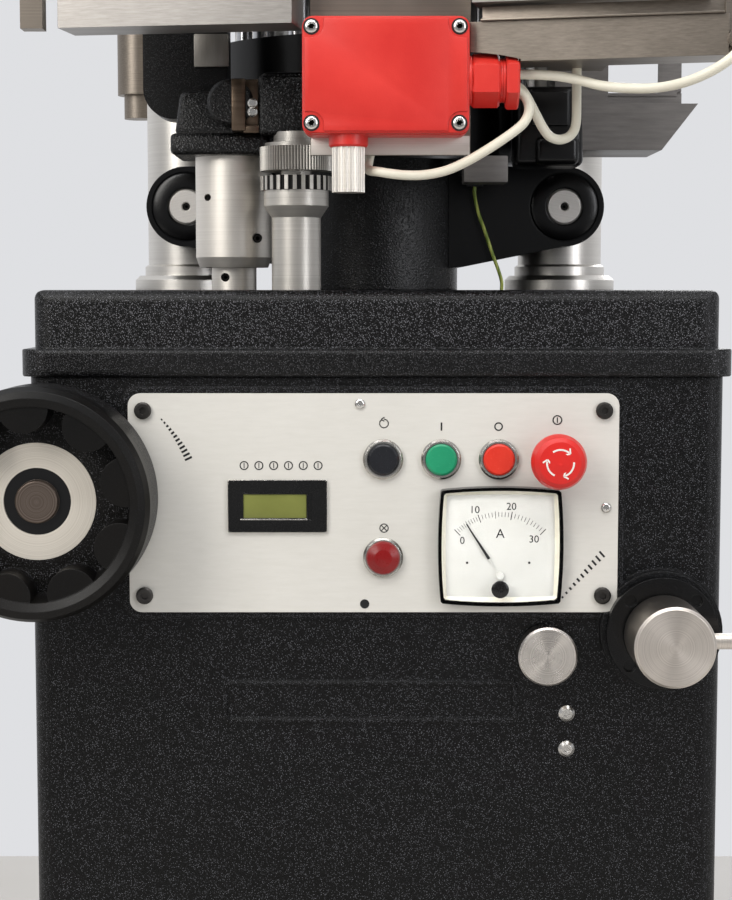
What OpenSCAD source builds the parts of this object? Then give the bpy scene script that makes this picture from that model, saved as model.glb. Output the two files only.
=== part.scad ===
// Rotary tablet press on a cast pedestal, in millimetres.
// X runs to the right and Y to the back, the turret turns about X = 0, Y = 0, and Z = 0 is the floor.

/* [Casing] */
// Height of the pedestal under the casing
pedestal_h = 310; // [250:1:360]
// How far the pedestal stands inside the casing at each side
pedestal_inset = 9; // [4:1:16]
// How far the floor flange reaches past the pedestal
flange_reach = 20; // [14:1:30]
// Thickness of the floor flange
flange_t = 16; // [12:1:24]
// Diameter of the holes for the floor bolts
floor_bolt_d = 14; // [10:0.5:18]
// Width of the base casing
casing_w = 510; // [500:1:560]
// Depth of the base casing, front to back
casing_d = 600; // [590:1:660]
// Height of the base casing up to the lid joint
casing_h = 407; // [400:1:430]
// Wall of the base casing
casing_wall = 8; // [6:0.5:9]
// Wall of the pedestal
pedestal_wall = 8; // [6:0.5:12]
// Radius of the casing's upright corners
corner_r = 14; // [8:1:20]
// Radius of the casing's lower edge
foot_r = 10; // [4:1:12]

/* [Lid] */
// Height of the lid above the casing joint
lid_h = 63; // [58:1:70]
// Thickness of the lid's top
deck_t = 15; // [12:0.5:18]
// Height of the band round the lid's lower edge
band_h = 20; // [14:1:26]
// How far the band stands out from the casing
band_out = 6; // [3:0.5:8]
// Radius of the lid's upper edge
lid_r = 9; // [4:1:12]

/* [Control panel] */
// Width of the control panel
panel_w = 358; // [350:1:366]
// Height of the control panel
panel_h = 161; // [156:1:170]
// Thickness of the control panel
panel_t = 3; // [2:0.5:4]
// Radius of the panel's corners
panel_r = 9; // [4:1:14]
// How far the cast pad shows round the panel
pad_border = 5; // [3:0.5:8]
// How far the cast pad stands out
pad_out = 3; // [2:0.5:5]
// Diameter of a push button bezel
bezel_d = 29.4; // [27:0.1:31]
// Diameter of a push button cap
cap_d = 22.8; // [20:0.1:23.4]
// Diameter of the hole for a push button
button_hole_d = 22.3; // [22.1:0.1:24]
// How far a push button travels
button_travel = 3; // [2:0.5:3]
// Diameter of the emergency mushroom
mushroom_d = 40; // [36:1:44]
// How far the emergency mushroom travels
mushroom_travel = 5; // [3:0.5:7]
// Width of the ammeter
meter_w = 91; // [86:1:94]
// Height of the ammeter
meter_h = 87; // [82:1:90]
// Width of the tablet counter
counter_w = 72; // [68:1:76]
// Height of the tablet counter
counter_h = 38; // [34:1:42]

/* [Controls] */
// Diameter of the speed handwheel
wheel_d = 166; // [150:1:176]
// Depth of the handwheel's rim
wheel_rim_h = 58; // [50:1:62]
// Number of thumb pads in the handwheel
pad_count = 9; // [6:1:10]
// Diameter of a thumb pad
thumb_pad_d = 35; // [26:1:38]
// Diameter of the handwheel shaft
speed_shaft_d = 16; // [12:0.5:20]
// Diameter of the pressure knob
knob_d = 58; // [50:1:64]
// Length of the pressure knob
knob_l = 53; // [44:1:60]
// Diameter of the tommy bar
bar_d = 11.5; // [8:0.5:14]
// Reach of the tommy bar from the knob's axis
bar_reach = 112; // [90:1:125]
// Diameter of the black ring behind the pressure knob
ring_d = 82; // [74:1:90]
// Diameter of the small steel knob
small_knob_d = 43.5; // [36:0.5:48]

/* [Columns] */
// Diameter of the two rear columns
column_d = 76; // [60:1:77]
// Distance between the two rear columns
column_gap = 340; // [336:1:344]
// How far the rear columns stand behind the turret's axis
column_back = 60; // [56:1:66]
// Diameter of the columns' foot flanges
column_foot_d = 100; // [94:1:108]
// Diameter of the centre column
centre_d = 146; // [136:1:150]
// Diameter of the pivot post's sleeve
sleeve_d = 61; // [54:1:64]
// Diameter of the adjuster's tube
adjuster_tube_d = 38.5; // [34:0.5:42]
// Diameter of the adjuster's knurled drum
drum_d = 56.5; // [50:0.5:58]
// Number of knurls round the drum
knurl_count = 72; // [48:1:90]
// Number of notches round the castellated ring
notch_count = 26; // [18:1:30]

/* [Turret] */
// Number of stations, each with a die and two punches
stations = 16; // [8:1:18]
// Diameter of the circle that the punches stand on
pitch_d = 228; // [224:1:232]
// Gap between the die table and the rear columns
table_gap = 1.3; // [1:0.1:4]
// Height of the die table's top above the lid
table_rise = 277; // [270:1:290]
// Thickness of the die table
table_t = 30; // [26:1:34]
// Outer diameter of a die
die_d = 30.16; // [28:0.01:32]
// Height of a die
die_h = 23.8; // [20:0.1:25]
// Diameter of a punch barrel
barrel_d = 19; // [18:0.1:20]
// Diameter of a punch head
head_d = 25.4; // [24:0.1:26]
// Diameter of the tablet that the tools press
tablet_d = 10; // [5:0.5:13]
// Diameter of the turret shaft
shaft_d = 40; // [32:1:42]
// Diameter of the two pressure rolls
roll_d = 124; // [110:1:126]
// Width of the two pressure rolls
roll_w = 34; // [28:1:36]

/* [Drive] */
// Number of teeth on the worm wheel
wheel_teeth = 36; // [30:1:36]
// Distance from one worm thread to the next
worm_pitch = 12.566; // [10:0.001:12.6]
// Mean radius of the worm
worm_r = 20; // [17:0.5:21]
// Half the depth of the worm thread
thread_h = 3; // [2:0.1:3]
// Diameter of the worm shaft
worm_shaft_d = 24; // [18:0.5:25]
// Diameter of the large pulley
big_pulley_d = 140; // [120:1:144]
// Diameter of the motor pulley
motor_pulley_d = 70; // [60:1:76]
// Diameter of the motor
motor_d = 150; // [130:1:156]
// Length of the motor's body
motor_l = 230; // [200:1:240]

/* [Feed] */
// Diameter of the hopper's mouth
hopper_d = 250; // [220:1:270]
// Height of the hopper's cone
hopper_h = 170; // [140:1:190]
// Outer diameter of the hopper's spout
spout_d = 52; // [46:1:54]
// Thickness of the feed frame
feed_frame_h = 12; // [8:0.5:13]
// Thickness of the chute's sheet
sheet_t = 2.5; // [2:0.1:4]

/* [Guard] */
// Width of the left guard door
left_door_w = 176; // [150:1:176]
// Depth of the left guard door
left_door_d = 40; // [30:1:44]
// Opening of the left guard door as it stands
left_door_ajar = 9; // [0:1:20]
// Height of the guard's rail
rail_h = 28; // [24:1:32]
// Turn of the right half of the guard
rail_turn = 13.6; // [8:0.1:18]
// Wall of the guard's sheet and channels
guard_t = 2.5; // [1.5:0.5:3]

/* [Fits] */
// Radial clearance of a running fit
fit = 0.05; // [0.02:0.01:0.1]
// Gap between pieces that only pass each other
gap = 0.3; // [0.25:0.05:0.5]

/* [Hidden] */
$fn = 72;

// Heights that the rest stands on
casing_z = pedestal_h;
lid_z = casing_z + casing_h;
deck_z = lid_z + lid_h;
front_y = -casing_d / 2;
inner_deck_z = deck_z - deck_t;

// The panel and what is on it, measured from the panel's own middle
panel_x = -2.5;
panel_z = deck_z - 155.5;
pad_y = front_y - pad_out;
panel_y = pad_y - panel_t;
button_z = panel_z + 32.5;
panel_end = panel_x + panel_w / 2;
reset_x = panel_end - 172;
start_x = panel_end - 129.7;
stop_x = panel_end - 87.7;
emergency_x = panel_end - 46;
lamp_z = panel_z - 39.7;
counter_x = panel_end - 249.1;
counter_z = panel_z - 1.9;
meter_x = panel_end - 86.5;
meter_z = panel_z - 30.7;
screw_in_x = 11;
screw_in_z = 12.5;
needle_z = meter_z - 22;
needle_l = 45.6;

// Handwheel, pressure knob and small knob
wheel_x = -242;
wheel_z = deck_z - 150;
wheel_gap = 12;
knob_x = panel_end + 32.5;
knob_z = deck_z - 250;
small_knob_x = panel_end - 51.5;
small_knob_z = deck_z - 267;

// Lower works
roll_z = deck_z + 75;
lower_head_z = roll_z + roll_d / 2 + gap;
punch_l = 133.35;
head_h = 9.5;
pitch_r = pitch_d / 2;
column_clear = norm([column_gap / 2, column_back]) - column_d / 2;
table_d = 2 * (column_clear - table_gap);
guide_d = table_d - 2;
table_z = deck_z + table_rise;
upper_tip_z = table_z + 15;
upper_head_z = upper_tip_z + punch_l;
upper_roll_z = upper_head_z + gap + roll_d / 2;
cam_z = lower_head_z - gap;
cam_disc_z = cam_z - 25;
crown_z = upper_head_z + 17;
crown_t = 78;
tip_l = die_h - (table_z - lower_head_z - punch_l) + 2 * gap;
journal_d = 24;
pin_x = column_gap / 2 - 6;
pin_z = roll_z - 3;
pin_d = 31;
arm_front = -36;
roll_play = 2;
cheek_t = 12;

// Feed
hopper_y = -178;
spout_low = table_z + gap + feed_frame_h + 1;
cone_z = crown_z + 160;

// Rear door
door_foot = 22;
door_head = 15;
door_w = 390;
door_h = casing_h - door_foot - door_head;
door_t = 6;
door_low = casing_z + door_foot;
hinge_x = -door_w / 2 - 8;
hinge_y = casing_d / 2 + 7;
knuckle_d = 13;
hinge_pin_d = 6;
hinge_zs = [door_low + 60, door_low + door_h - 60];

// Drive
wheel_r = wheel_teeth * worm_pitch / (2 * PI);
mesh_gap = 0.8;
worm_y = wheel_r + worm_r + mesh_gap;
gear_z = deck_z - 140;
wheel_t = 16;
motor_z = casing_z + 100;
pulley_x = 205;
pulley_w = 22;
lug_x = 75;
lug_t = 18;

// Post and adjuster
post_x = -114.5;
post_y = -150;
sleeve_z = deck_z + 18;
sleeve_top = deck_z + 112;
bracket_z = deck_z + 137;
adjuster_x = -62.5;
adjuster_y = -195;
drum_z = deck_z + 92;
drum_h = 18.5;

// Guard
roof_z = crown_z + 4;
roof_t = 4;
door_z = deck_z + 186;
left_hinge = [-233, -304];
hinge_r = 5;
guard_pin_d = 4;
right_hinge_local = [174, -4];
rail_z = deck_z + 159.5;
rail_at = [64, -329];
rail_l = 180;
rail_d = 40;
right_door_z = rail_z + rail_h + 12;
rail_way = [cos(rail_turn), -sin(rail_turn)];
rail_back = [sin(rail_turn), cos(rail_turn)];
rail_end = rail_at + rail_l * rail_way;
right_hinge = rail_at + right_hinge_local[0] * rail_way + right_hinge_local[1] * rail_back;
hinge_rises = [36, 186];
chute_z = deck_z + 115.5;

// Switch
switch_x = 6;
switch_w = 118;
switch_h = 82;
switch_z = deck_z + 109;
switch_front = -340;
switch_d = 35;
plate_y = switch_front + switch_d;
plate_t = 3;
gland_z = switch_z + 38.5;
gland_y = -322;
gland_end = 100;
gland_d = 40.5;
mouth_d = 27;
mouth_l = 8;
seal_x = gland_end - mouth_l;
loop_end = 940;
cable_d = 7;
wire_d = 3;

// Routes of the cables, chosen by hand along the way each one hangs
right_route = [[seal_x, -322, 932], [98, -322, 932], [111, -322.5, 931.8], [127, -325, 930.5],
    [142, -331, 927], [157, -341, 922], [174, -353, 919], [191, -365, 918], [207, -378, 920],
    [221, -387, 925], [233, -391, 932], [242, -389, 940], [245.5, -383, 947],
    [245, -378, 950], [245, -374, 950]];
left_route = [[seal_x, -322, 922], [93.5, -322, 922], [98.3, -322, 921.2], [102.5, -322, 918.7],
    [105.6, -322.4, 915], [107.3, -323, 910.4], [107.3, -323.6, 905.6], [105.3, -324.6, 900.3],
    [101.5, -325.6, 895.6], [93, -326.5, 889], [80, -327, 880.3], [64, -326, 871],
    [49, -325, 864.5], [34, -323.5, 861.5], [20, -323, 861.3], [9, -321.5, 862.5],
    [1, -318.5, 864], [-4.5, -313, 865], [-7, -306.5, 867], [-6.5, -300.5, 870],
    [-5.5, -296.5, 875.5], [-3.5, -295.2, 882.5], [-0.5, -295, 889.5], [2.5, -295, 896.5],
    [4, -295, 903], [4, -295, 909]];
loop_route = [[seal_x, -314, 926], [93.5, -314, 926], [98.3, -314, 925.1], [102.5, -314, 922.5],
    [106, -314, 918], [110, -313.5, 911], [114.3, -312, 903.2], [118.8, -309.5, 895.6],
    [124, -306, 890], [131, -301.5, 888], [138, -297.5, 890], [142.7, -294, 895],
    [144.6, -291.5, 902], [145, -289.8, 912], [145, -289, 925], [145, -289, 934],
    [145, -289, loop_end]];
earth_route = [[85, -56, 868], [85, -56, 861], [88, -58, 846], [94, -60.5, 829],
    [100, -62, 811], [105.5, -63, 796], [108, -63, 787], [108, -63, 780]];

// A rectangle with round corners, about its middle
module round_rect(w, h, r) {
    square([w - 2 * r, h], center = true);
    square([w, h - 2 * r], center = true);
    for (sx = [-1, 1], sy = [-1, 1])
        translate([sx * (w / 2 - r), sy * (h / 2 - r)]) circle(r);
}

// A side view with its own radii at the top and at the foot
module edge_profile(w, h, top_r, low_r) {
    translate([-w / 2, max(low_r, 0.01)]) square([w, h - top_r - max(low_r, 0.01)]);
    translate([-w / 2 + top_r, h / 2]) square([w - 2 * top_r, h / 2]);
    translate([-w / 2 + low_r, 0]) square([w - 2 * low_r, h / 2]);
    if (top_r > 0)
        for (s = [-1, 1]) translate([s * (w / 2 - top_r), h - top_r]) circle(top_r);
    if (low_r > 0)
        for (s = [-1, 1]) translate([s * (w / 2 - low_r), low_r]) circle(low_r);
}

// A block whose upright, upper and lower edges are all rounded
module soft_block(w, d, h, side_r, top_r = 0, low_r = 0) {
    intersection() {
        linear_extrude(h) round_rect(w, d, side_r);
        translate([0, d / 2, 0]) rotate([90, 0, 0])
            linear_extrude(d) edge_profile(w, h, top_r, low_r);
        translate([-w / 2, 0, 0]) rotate([90, 0, 90])
            linear_extrude(w) edge_profile(d, h, top_r, low_r);
    }
}

// Lays a shape drawn in X and Z on a plane that faces the front, reaching back from y
module from_front(y, depth) {
    translate([0, y + depth, 0]) rotate([90, 0, 0]) linear_extrude(depth) children();
}

// A cylinder that points to the back from y
module rod_back(x, y, z, d, l) {
    translate([x, y, z]) rotate([-90, 0, 0]) cylinder(d = d, h = l);
}

// Places children at each station of the turret
module each_station() {
    for (i = [0 : stations - 1]) rotate([0, 0, 360 / stations * (i + 0.5)]) children();
}

// One round tube along a route, its rings square to the route
function unit(v) = v / norm(v);
function route_way(p, i) = unit(p[min(i + 1, len(p) - 1)] - p[max(i - 1, 0)]);
function ring_side(t) = unit(cross(abs(t[1]) > 0.8 ? [0, 0, 1] : [0, 1, 0], t));
module tube_along(p, d, sides) {
    n = len(p);
    points = [for (i = [0 : n - 1])
        let (t = route_way(p, i), a = ring_side(t), b = cross(t, a))
        for (k = [0 : sides - 1])
            p[i] + d / 2 * (cos(360 * k / sides) * a + sin(360 * k / sides) * b)];
    walls = [for (i = [0 : n - 2], k = [0 : sides - 1])
        let (m = (k + 1) % sides)
        for (tri = [0, 1]) tri == 0
            ? [i * sides + k, (i + 1) * sides + k, (i + 1) * sides + m]
            : [i * sides + k, (i + 1) * sides + m, i * sides + m]];
    caps = [[for (k = [0 : sides - 1]) k],
        [for (k = [sides - 1 : -1 : 0]) (n - 1) * sides + k]];
    polyhedron(points, concat(walls, caps));
}

module pedestal() {
    w = casing_w - 2 * pedestal_inset;
    d = casing_d - 2 * pedestal_inset;
    reach = 2 * flange_reach;
    color([0.05, 0.05, 0.055]) difference() {
        union() {
            linear_extrude(flange_t) round_rect(w + reach, d + reach, corner_r + flange_reach);
            linear_extrude(pedestal_h) round_rect(w, d, corner_r);
        }
        translate([0, 0, -1]) linear_extrude(pedestal_h - pedestal_wall + 1)
            round_rect(w - 2 * pedestal_wall, d - 2 * pedestal_wall, corner_r - 6);
        for (sx = [-1, 1], sy = [-1, 1])
            translate([sx * (w + flange_reach) / 2, sy * (d / 2 - 30), -1])
                cylinder(d = floor_bolt_d, h = flange_t + 2);
    }
}

// The pad under the panel and the plain cast frame below it
module casing_relief() {
    translate([panel_x, 0, panel_z])
        from_front(pad_y, pad_out + 1)
            round_rect(panel_w + 2 * pad_border, panel_h + 2 * pad_border, panel_r + pad_border);
    translate([-5, 0, deck_z - 304]) from_front(front_y - 2, 3) difference() {
        round_rect(218, 31, 5);
        round_rect(212, 25, 3);
    }
    rod_back(knob_x, front_y - 8, knob_z, ring_d + 8, 12);
    rod_back(wheel_x, front_y - wheel_gap + 1, wheel_z, 48, 72);
}

// Holes through the casing's front for the parts that pass it
module casing_front_holes() {
    for (x = [reset_x, start_x, stop_x, emergency_x])
        rod_back(x, pad_y - 1, button_z, button_hole_d, 40);
    rod_back(reset_x, pad_y - 1, lamp_z, button_hole_d, 40);
    rod_back(meter_x, pad_y - 1, meter_z, 58, 40);
    translate([counter_x, 0, counter_z]) from_front(pad_y - 1, 40)
        square([counter_w - 4, counter_h - 5], center = true);
    rod_back(wheel_x, front_y - wheel_gap, wheel_z, speed_shaft_d + 2 * fit, 74);
    rod_back(knob_x, front_y - 9, knob_z, 20 + 2 * fit, 60);
    rod_back(small_knob_x, front_y - 1, small_knob_z, 12 + 2 * fit, 60);
}

module hinge_knuckle(z, h) {
    translate([hinge_x, hinge_y, z]) difference() {
        union() {
            cylinder(d = knuckle_d, h = h);
            children();
        }
        translate([0, 0, -1]) cylinder(d = hinge_pin_d + 2 * fit, h = h + 2);
    }
}

module base_casing() {
    inner_w = casing_w - 2 * casing_wall;
    inner_d = casing_d - 2 * casing_wall;
    color([0.05, 0.05, 0.055]) difference() {
        union() {
            translate([0, 0, casing_z])
                soft_block(casing_w, casing_d, casing_h, corner_r, 0, foot_r);
            casing_relief();
            for (z = hinge_zs) {
                translate([hinge_x - knuckle_d / 2, casing_d / 2 - 2, z - 34])
                    cube([knuckle_d, 9, 22]);
                translate([hinge_x, hinge_y, z - 34]) cylinder(d = hinge_pin_d, h = 56);
            }
        }
        difference() {
            translate([0, 0, casing_z + foot_r + 2])
                linear_extrude(casing_h) round_rect(inner_w, inner_d, corner_r - 6);
            rod_back(wheel_x, front_y, wheel_z, 48, 61);
        }
        casing_front_holes();
        translate([panel_x, 0, panel_z]) from_front(panel_y - 3, panel_t + 3)
            round_rect(panel_w + 2 * gap, panel_h + 2 * gap, panel_r + gap);
        translate([0, 0, door_low + door_h / 2])
            from_front(casing_d / 2 - casing_wall - 1, casing_wall + 2)
                round_rect(door_w - 30, door_h - 30, 12);
    }
}

module rear_door() {
    back = casing_d / 2;
    color([0.06, 0.06, 0.065]) {
        translate([0, 0, door_low + door_h / 2])
            from_front(back + gap, door_t) round_rect(door_w, door_h, 10);
        for (z = hinge_zs)
            difference() {
                hinge_knuckle(z - 11.5, 33)
                    translate([0, -knuckle_d / 2 + gap, 0]) cube([20, door_t, 33]);
                translate([hinge_x - 20, back - 5, z - 40]) cube([40, 5 + gap, 90]);
            }
    }
    color([0.6, 0.6, 0.6]) {
        for (s = [-1, 1])
            rod_back(door_w / 2 - 25, back + gap + door_t, door_low + door_h / 2 + s * 45, 10, 26);
        translate([door_w / 2 - 25, back + gap + door_t + 26, door_low + door_h / 2 - 55])
            cylinder(d = 12, h = 110);
    }
}

module base_lid() {
    outer_w = casing_w - 6;
    outer_d = casing_d - 6;
    color([0.05, 0.05, 0.055]) difference() {
        union() {
            translate([0, 0, lid_z]) soft_block(outer_w, outer_d, lid_h, corner_r, lid_r);
            translate([0, 0, lid_z]) soft_block(casing_w + 2 * band_out, casing_d + 2 * band_out,
                band_h, corner_r + band_out, 3, 3);
        }
        translate([0, 0, lid_z - 1]) linear_extrude(lid_h - deck_t + 1)
            round_rect(outer_w - 24, outer_d - 24, corner_r - 6);
        translate([0, 0, inner_deck_z - 1]) cylinder(d = shaft_d + 20, h = deck_t + 2);
    }
}

// A belt pulley about the X axis with one groove
module pulley(x, y, z, d, bore) {
    h = pulley_w;
    translate([x - h / 2, y, z]) rotate([0, 90, 0]) rotate_extrude() polygon([
        [bore / 2, -6], [d / 4, -6], [d / 4, 0], [d / 2, 0], [d / 2, 3], [d / 2 - 10, 7],
        [d / 2 - 10, h - 7], [d / 2, h - 3], [d / 2, h], [bore / 2, h]]);
}

module motor() {
    color([0.25, 0.3, 0.33]) translate([-110, worm_y, motor_z]) {
        rotate([0, 90, 0]) difference() {
            union() {
                cylinder(d = motor_d - 14, h = motor_l);
                for (i = [0 : 23]) rotate([0, 0, i * 15])
                    translate([motor_d / 2 - 8, -1.5, 24]) cube([8, 3, motor_l - 70]);
                cylinder(d = motor_d, h = 22);
                translate([0, 0, motor_l - 40]) cylinder(d = motor_d, h = 18);
                translate([0, 0, motor_l - 22]) cylinder(d = motor_d * 0.7, h = 22);
            }
            translate([0, 0, motor_l - 40]) cylinder(d = 20 + 2 * fit, h = 50);
        }
        for (x = [34, motor_l - 66])
            translate([x, -60, casing_z + foot_r + 2 - motor_z]) cube([32, 120, 40]);
        translate([80, -40, motor_d / 2 - 10]) cube([64, 80, 34]);
    }
}

module motor_pulley() {
    color([0.45, 0.45, 0.46]) {
        difference() {
            pulley(pulley_x, worm_y, motor_z, motor_pulley_d, 19);
            translate([pulley_x + 10, worm_y, motor_z]) rotate([0, 90, 0]) cylinder(d = 6, h = 4);
        }
        translate([motor_l - 148, worm_y, motor_z]) rotate([0, 90, 0])
            cylinder(d = 20, h = pulley_x + 8 - (motor_l - 148));
    }
}

// The outline of a belt round two pulleys, the large one above the small one
function belt_points(r1, r2, lean) = concat(
    [for (i = [0 : 40]) let (a = (180 + 2 * lean) * i / 40 - lean)
        [r1 * cos(a), gear_z + r1 * sin(a)]],
    [for (i = [0 : 36]) let (a = 180 + lean + (180 - 2 * lean) * i / 36)
        [r2 * cos(a), motor_z + r2 * sin(a)]]);

module drive_belt() {
    belt_w = 10;
    belt_t = 5;
    r1 = big_pulley_d / 2 - 1;
    r2 = motor_pulley_d / 2 - 1;
    lean = asin((r1 - r2) / (gear_z - motor_z));
    color([0.04, 0.04, 0.04]) translate([pulley_x - belt_w / 2, worm_y, 0]) rotate([90, 0, 90])
        linear_extrude(belt_w) difference() {
            polygon(belt_points(r1, r2, lean));
            polygon(belt_points(r1 - belt_t, r2 - belt_t, lean));
        }
}

module main_pulley() {
    color([0.45, 0.45, 0.46]) difference() {
        pulley(pulley_x, worm_y, gear_z, big_pulley_d, worm_shaft_d + 2 * fit);
        for (a = [0 : 60 : 300])
            translate([pulley_x - pulley_w, worm_y, gear_z]) rotate([a, 0, 0])
                translate([0, big_pulley_d / 4 + 8, 0]) rotate([0, 90, 0])
                    cylinder(d = 14, h = 2 * pulley_w);
    }
}

module worm_shaft() {
    turns = 5;
    thread_l = turns * worm_pitch;
    collar_t = 14;
    collar_at = lug_x - lug_t / 2 - gap - collar_t / 2;
    color([0.6, 0.6, 0.6]) translate([0, worm_y, gear_z]) rotate([0, 90, 0]) {
        translate([0, 0, -thread_l / 2]) rotate([0, 0, 90])
            linear_extrude(thread_l, twist = -360 * turns, slices = 12 * turns, $fn = 20)
                translate([thread_h, 0]) circle(worm_r, $fn = 20);
        for (s = [-1, 1]) translate([0, 0, s * collar_at])
            cylinder(d = 2 * worm_r - 4, h = collar_t, center = true);
        translate([0, 0, -95]) cylinder(d = worm_shaft_d, h = 106 + pulley_x);
    }
}

// A cast bracket that hangs from the lid and holds the worm and the foot of the shaft
module gear_frame() {
    web_y = worm_y + worm_r + thread_h + 8;
    low = gear_z - 50;
    w = 2 * lug_x + 24;
    color([0.2, 0.26, 0.24]) difference() {
        union() {
            translate([-w / 2, -60, inner_deck_z - 12]) cube([w, web_y + 72, 12]);
            translate([-w / 2, web_y, low]) cube([w, 12, inner_deck_z - low]);
            translate([-45, 0, low]) cube([90, web_y + 12, 16]);
            translate([0, 0, low]) cylinder(r = 45, h = 16);
            translate([0, 0, low - 14]) cylinder(r = 32, h = 30);
            for (s = [-1, 1]) {
                translate([s * lug_x - lug_t / 2, worm_y, gear_z - 22])
                    cube([lug_t, web_y - worm_y + 2, 44]);
                translate([s * lug_x - lug_t / 2, worm_y, gear_z]) rotate([0, 90, 0])
                    cylinder(d = 44, h = lug_t);
                translate([s * (w / 2 - 5) - 5, web_y - 60, inner_deck_z - 60])
                    rotate([90, 0, 90]) linear_extrude(10)
                        polygon([[0, 52], [62, 52], [62, 0]]);
            }
        }
        translate([0, 0, low - 20]) cylinder(d = shaft_d - 6 + 2 * fit, h = 60);
        translate([0, 0, inner_deck_z - 20]) cylinder(d = shaft_d + 16, h = 30);
        translate([-w, worm_y, gear_z]) rotate([0, 90, 0])
            cylinder(d = worm_shaft_d + 2 * fit, h = 2 * w);
    }
}

module worm_wheel() {
    steps = 8 * wheel_teeth;
    color([0.62, 0.48, 0.22]) translate([0, 0, gear_z - wheel_t / 2]) difference() {
        union() {
            linear_extrude(wheel_t) polygon([for (i = [0 : steps - 1])
                let (a = 360 * i / steps, r = wheel_r - thread_h * cos(wheel_teeth * (a - 90)))
                r * [cos(a), sin(a)]]);
            translate([0, 0, -6]) cylinder(d = shaft_d + 24, h = wheel_t + 12);
        }
        translate([0, 0, -20]) cylinder(d = shaft_d + 2 * fit, h = 60);
        for (a = [0 : 60 : 300]) rotate([0, 0, a]) translate([48, 0, -1])
            cylinder(d = 18, h = wheel_t + 2);
    }
}

module turret_shaft() {
    low = gear_z - 64;
    shoulder = gear_z - 34 + gap;
    color([0.66, 0.66, 0.66]) {
        translate([0, 0, low]) cylinder(d = shaft_d - 6, h = shoulder - low);
        translate([0, 0, shoulder]) cylinder(d = shaft_d, h = crown_z + 40 - shoulder);
    }
}

// A disc or spacer ring of the turret, from its lower face to just under the next one
module turret_ring(r, low, high, edge = 0.5) {
    bore_r = shaft_d / 2 + fit;
    rotate_extrude() polygon([[bore_r, low], [r - edge, low], [r, low + edge],
        [r, high - gap - edge], [r - edge, high - gap], [bore_r, high - gap]]);
}

// Two punch guides and the die table, clamped on the shaft with spacer rings between them
module turret() {
    guide_r = guide_d / 2;
    guide_low = table_z - 112;
    guide_top = table_z - 72;
    upper_low = table_z + 48;
    upper_top = table_z + 93;
    color([0.52, 0.52, 0.53]) difference() {
        union() {
            turret_ring(56, cam_disc_z + 16, guide_low);
            turret_ring(guide_r, guide_low, guide_top, 2);
            turret_ring(92, guide_top, table_z - table_t);
            turret_ring(table_d / 2, table_z - table_t, table_z + gap, 1.5);
            turret_ring(88, table_z + gap, upper_low);
            turret_ring(guide_r, upper_low, upper_top, 2);
            turret_ring(70, upper_top, crown_z - 8);
        }
        each_station() translate([pitch_r, 0, 0]) {
            translate([0, 0, table_z - 120]) cylinder(d = barrel_d + 2 * fit, h = 60);
            translate([0, 0, table_z - table_t - 1])
                cylinder(d = barrel_d + 2 * fit, h = table_t - die_h + 2);
            translate([0, 0, table_z - die_h]) cylinder(d = die_d + 2 * fit, h = die_h + 1);
            translate([0, 0, table_z + 40]) cylinder(d = barrel_d + 2 * fit, h = 60);
        }
        each_station() translate([table_d / 2 - 16, 0, table_z - die_h / 2])
            rotate([0, 90, 0]) cylinder(d = 8, h = 30);
    }
}

module dies() {
    color([0.72, 0.72, 0.73]) each_station() translate([pitch_r, 0, table_z - die_h])
        rotate_extrude() polygon([
            [tablet_d / 2 + fit, 0], [die_d / 2 - 1, 0], [die_d / 2, 1], [die_d / 2, 8],
            [die_d / 2 - 1.6, 9.5], [die_d / 2 - 1.6, 13.5], [die_d / 2, 15],
            [die_d / 2, die_h - 1], [die_d / 2 - 1, die_h], [tablet_d / 2 + fit, die_h]]);
}

// One punch with its head at z = 0 and its tip up
module punch() {
    rotate_extrude() polygon([
        [0, 0], [head_d / 2 - 5, 0], [head_d / 2, 2.5], [head_d / 2, 5.5],
        [barrel_d / 2 - 1.5, head_h], [barrel_d / 2 - 1.5, head_h + 3], [barrel_d / 2, head_h + 5],
        [barrel_d / 2, punch_l - tip_l - 4], [tablet_d / 2 - 0.2, punch_l - tip_l],
        [tablet_d / 2 - 0.2, punch_l - 5], [tablet_d / 2, punch_l - 4], [tablet_d / 2, punch_l],
        [0, punch_l - 0.8]]);
}

module lower_punches() {
    color([0.74, 0.74, 0.75]) each_station() translate([pitch_r, 0, lower_head_z]) punch();
}

module upper_punches() {
    color([0.74, 0.74, 0.75]) each_station()
        translate([pitch_r, 0, upper_head_z]) mirror([0, 0, 1]) punch();
}

// The slot that leaves room for a pressure roll behind the shaft
module roll_slot(z, h) {
    translate([-roll_d / 2 - 4, pitch_r - roll_w / 2 - 4, z])
        cube([roll_d + 8, 80, h]);
}

module centre_column() {
    color([0.06, 0.06, 0.065]) difference() {
        translate([0, 0, deck_z]) cylinder(d = centre_d, h = cam_disc_z - deck_z);
        translate([0, 0, deck_z - 1]) cylinder(d = shaft_d + 2 * fit, h = 200);
        translate([0, 0, deck_z + 30]) cylinder(d = shaft_d + 16, h = 50);
    }
}

module lower_cam() {
    r = guide_d / 2;
    color([0.22, 0.22, 0.23]) difference() {
        translate([0, 0, cam_disc_z]) rotate_extrude() polygon([
            [shaft_d / 2 + 4, 0], [r, 0], [r, 44], [r - 10, 44], [r - 10, 25], [pitch_r - 14, 25],
            [pitch_r - 14, 36], [88, 36], [88, 12], [shaft_d / 2 + 4, 12]]);
        roll_slot(cam_disc_z - 1, 60);
    }
    color([0.3, 0.31, 0.32]) {
        translate([72, -62, cam_disc_z - 14]) cube([36, 24, 14]);
        translate([78, -60, earth_route[0][2]]) cube([14, 8, cam_disc_z - 13 - earth_route[0][2]]);
    }
}

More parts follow.
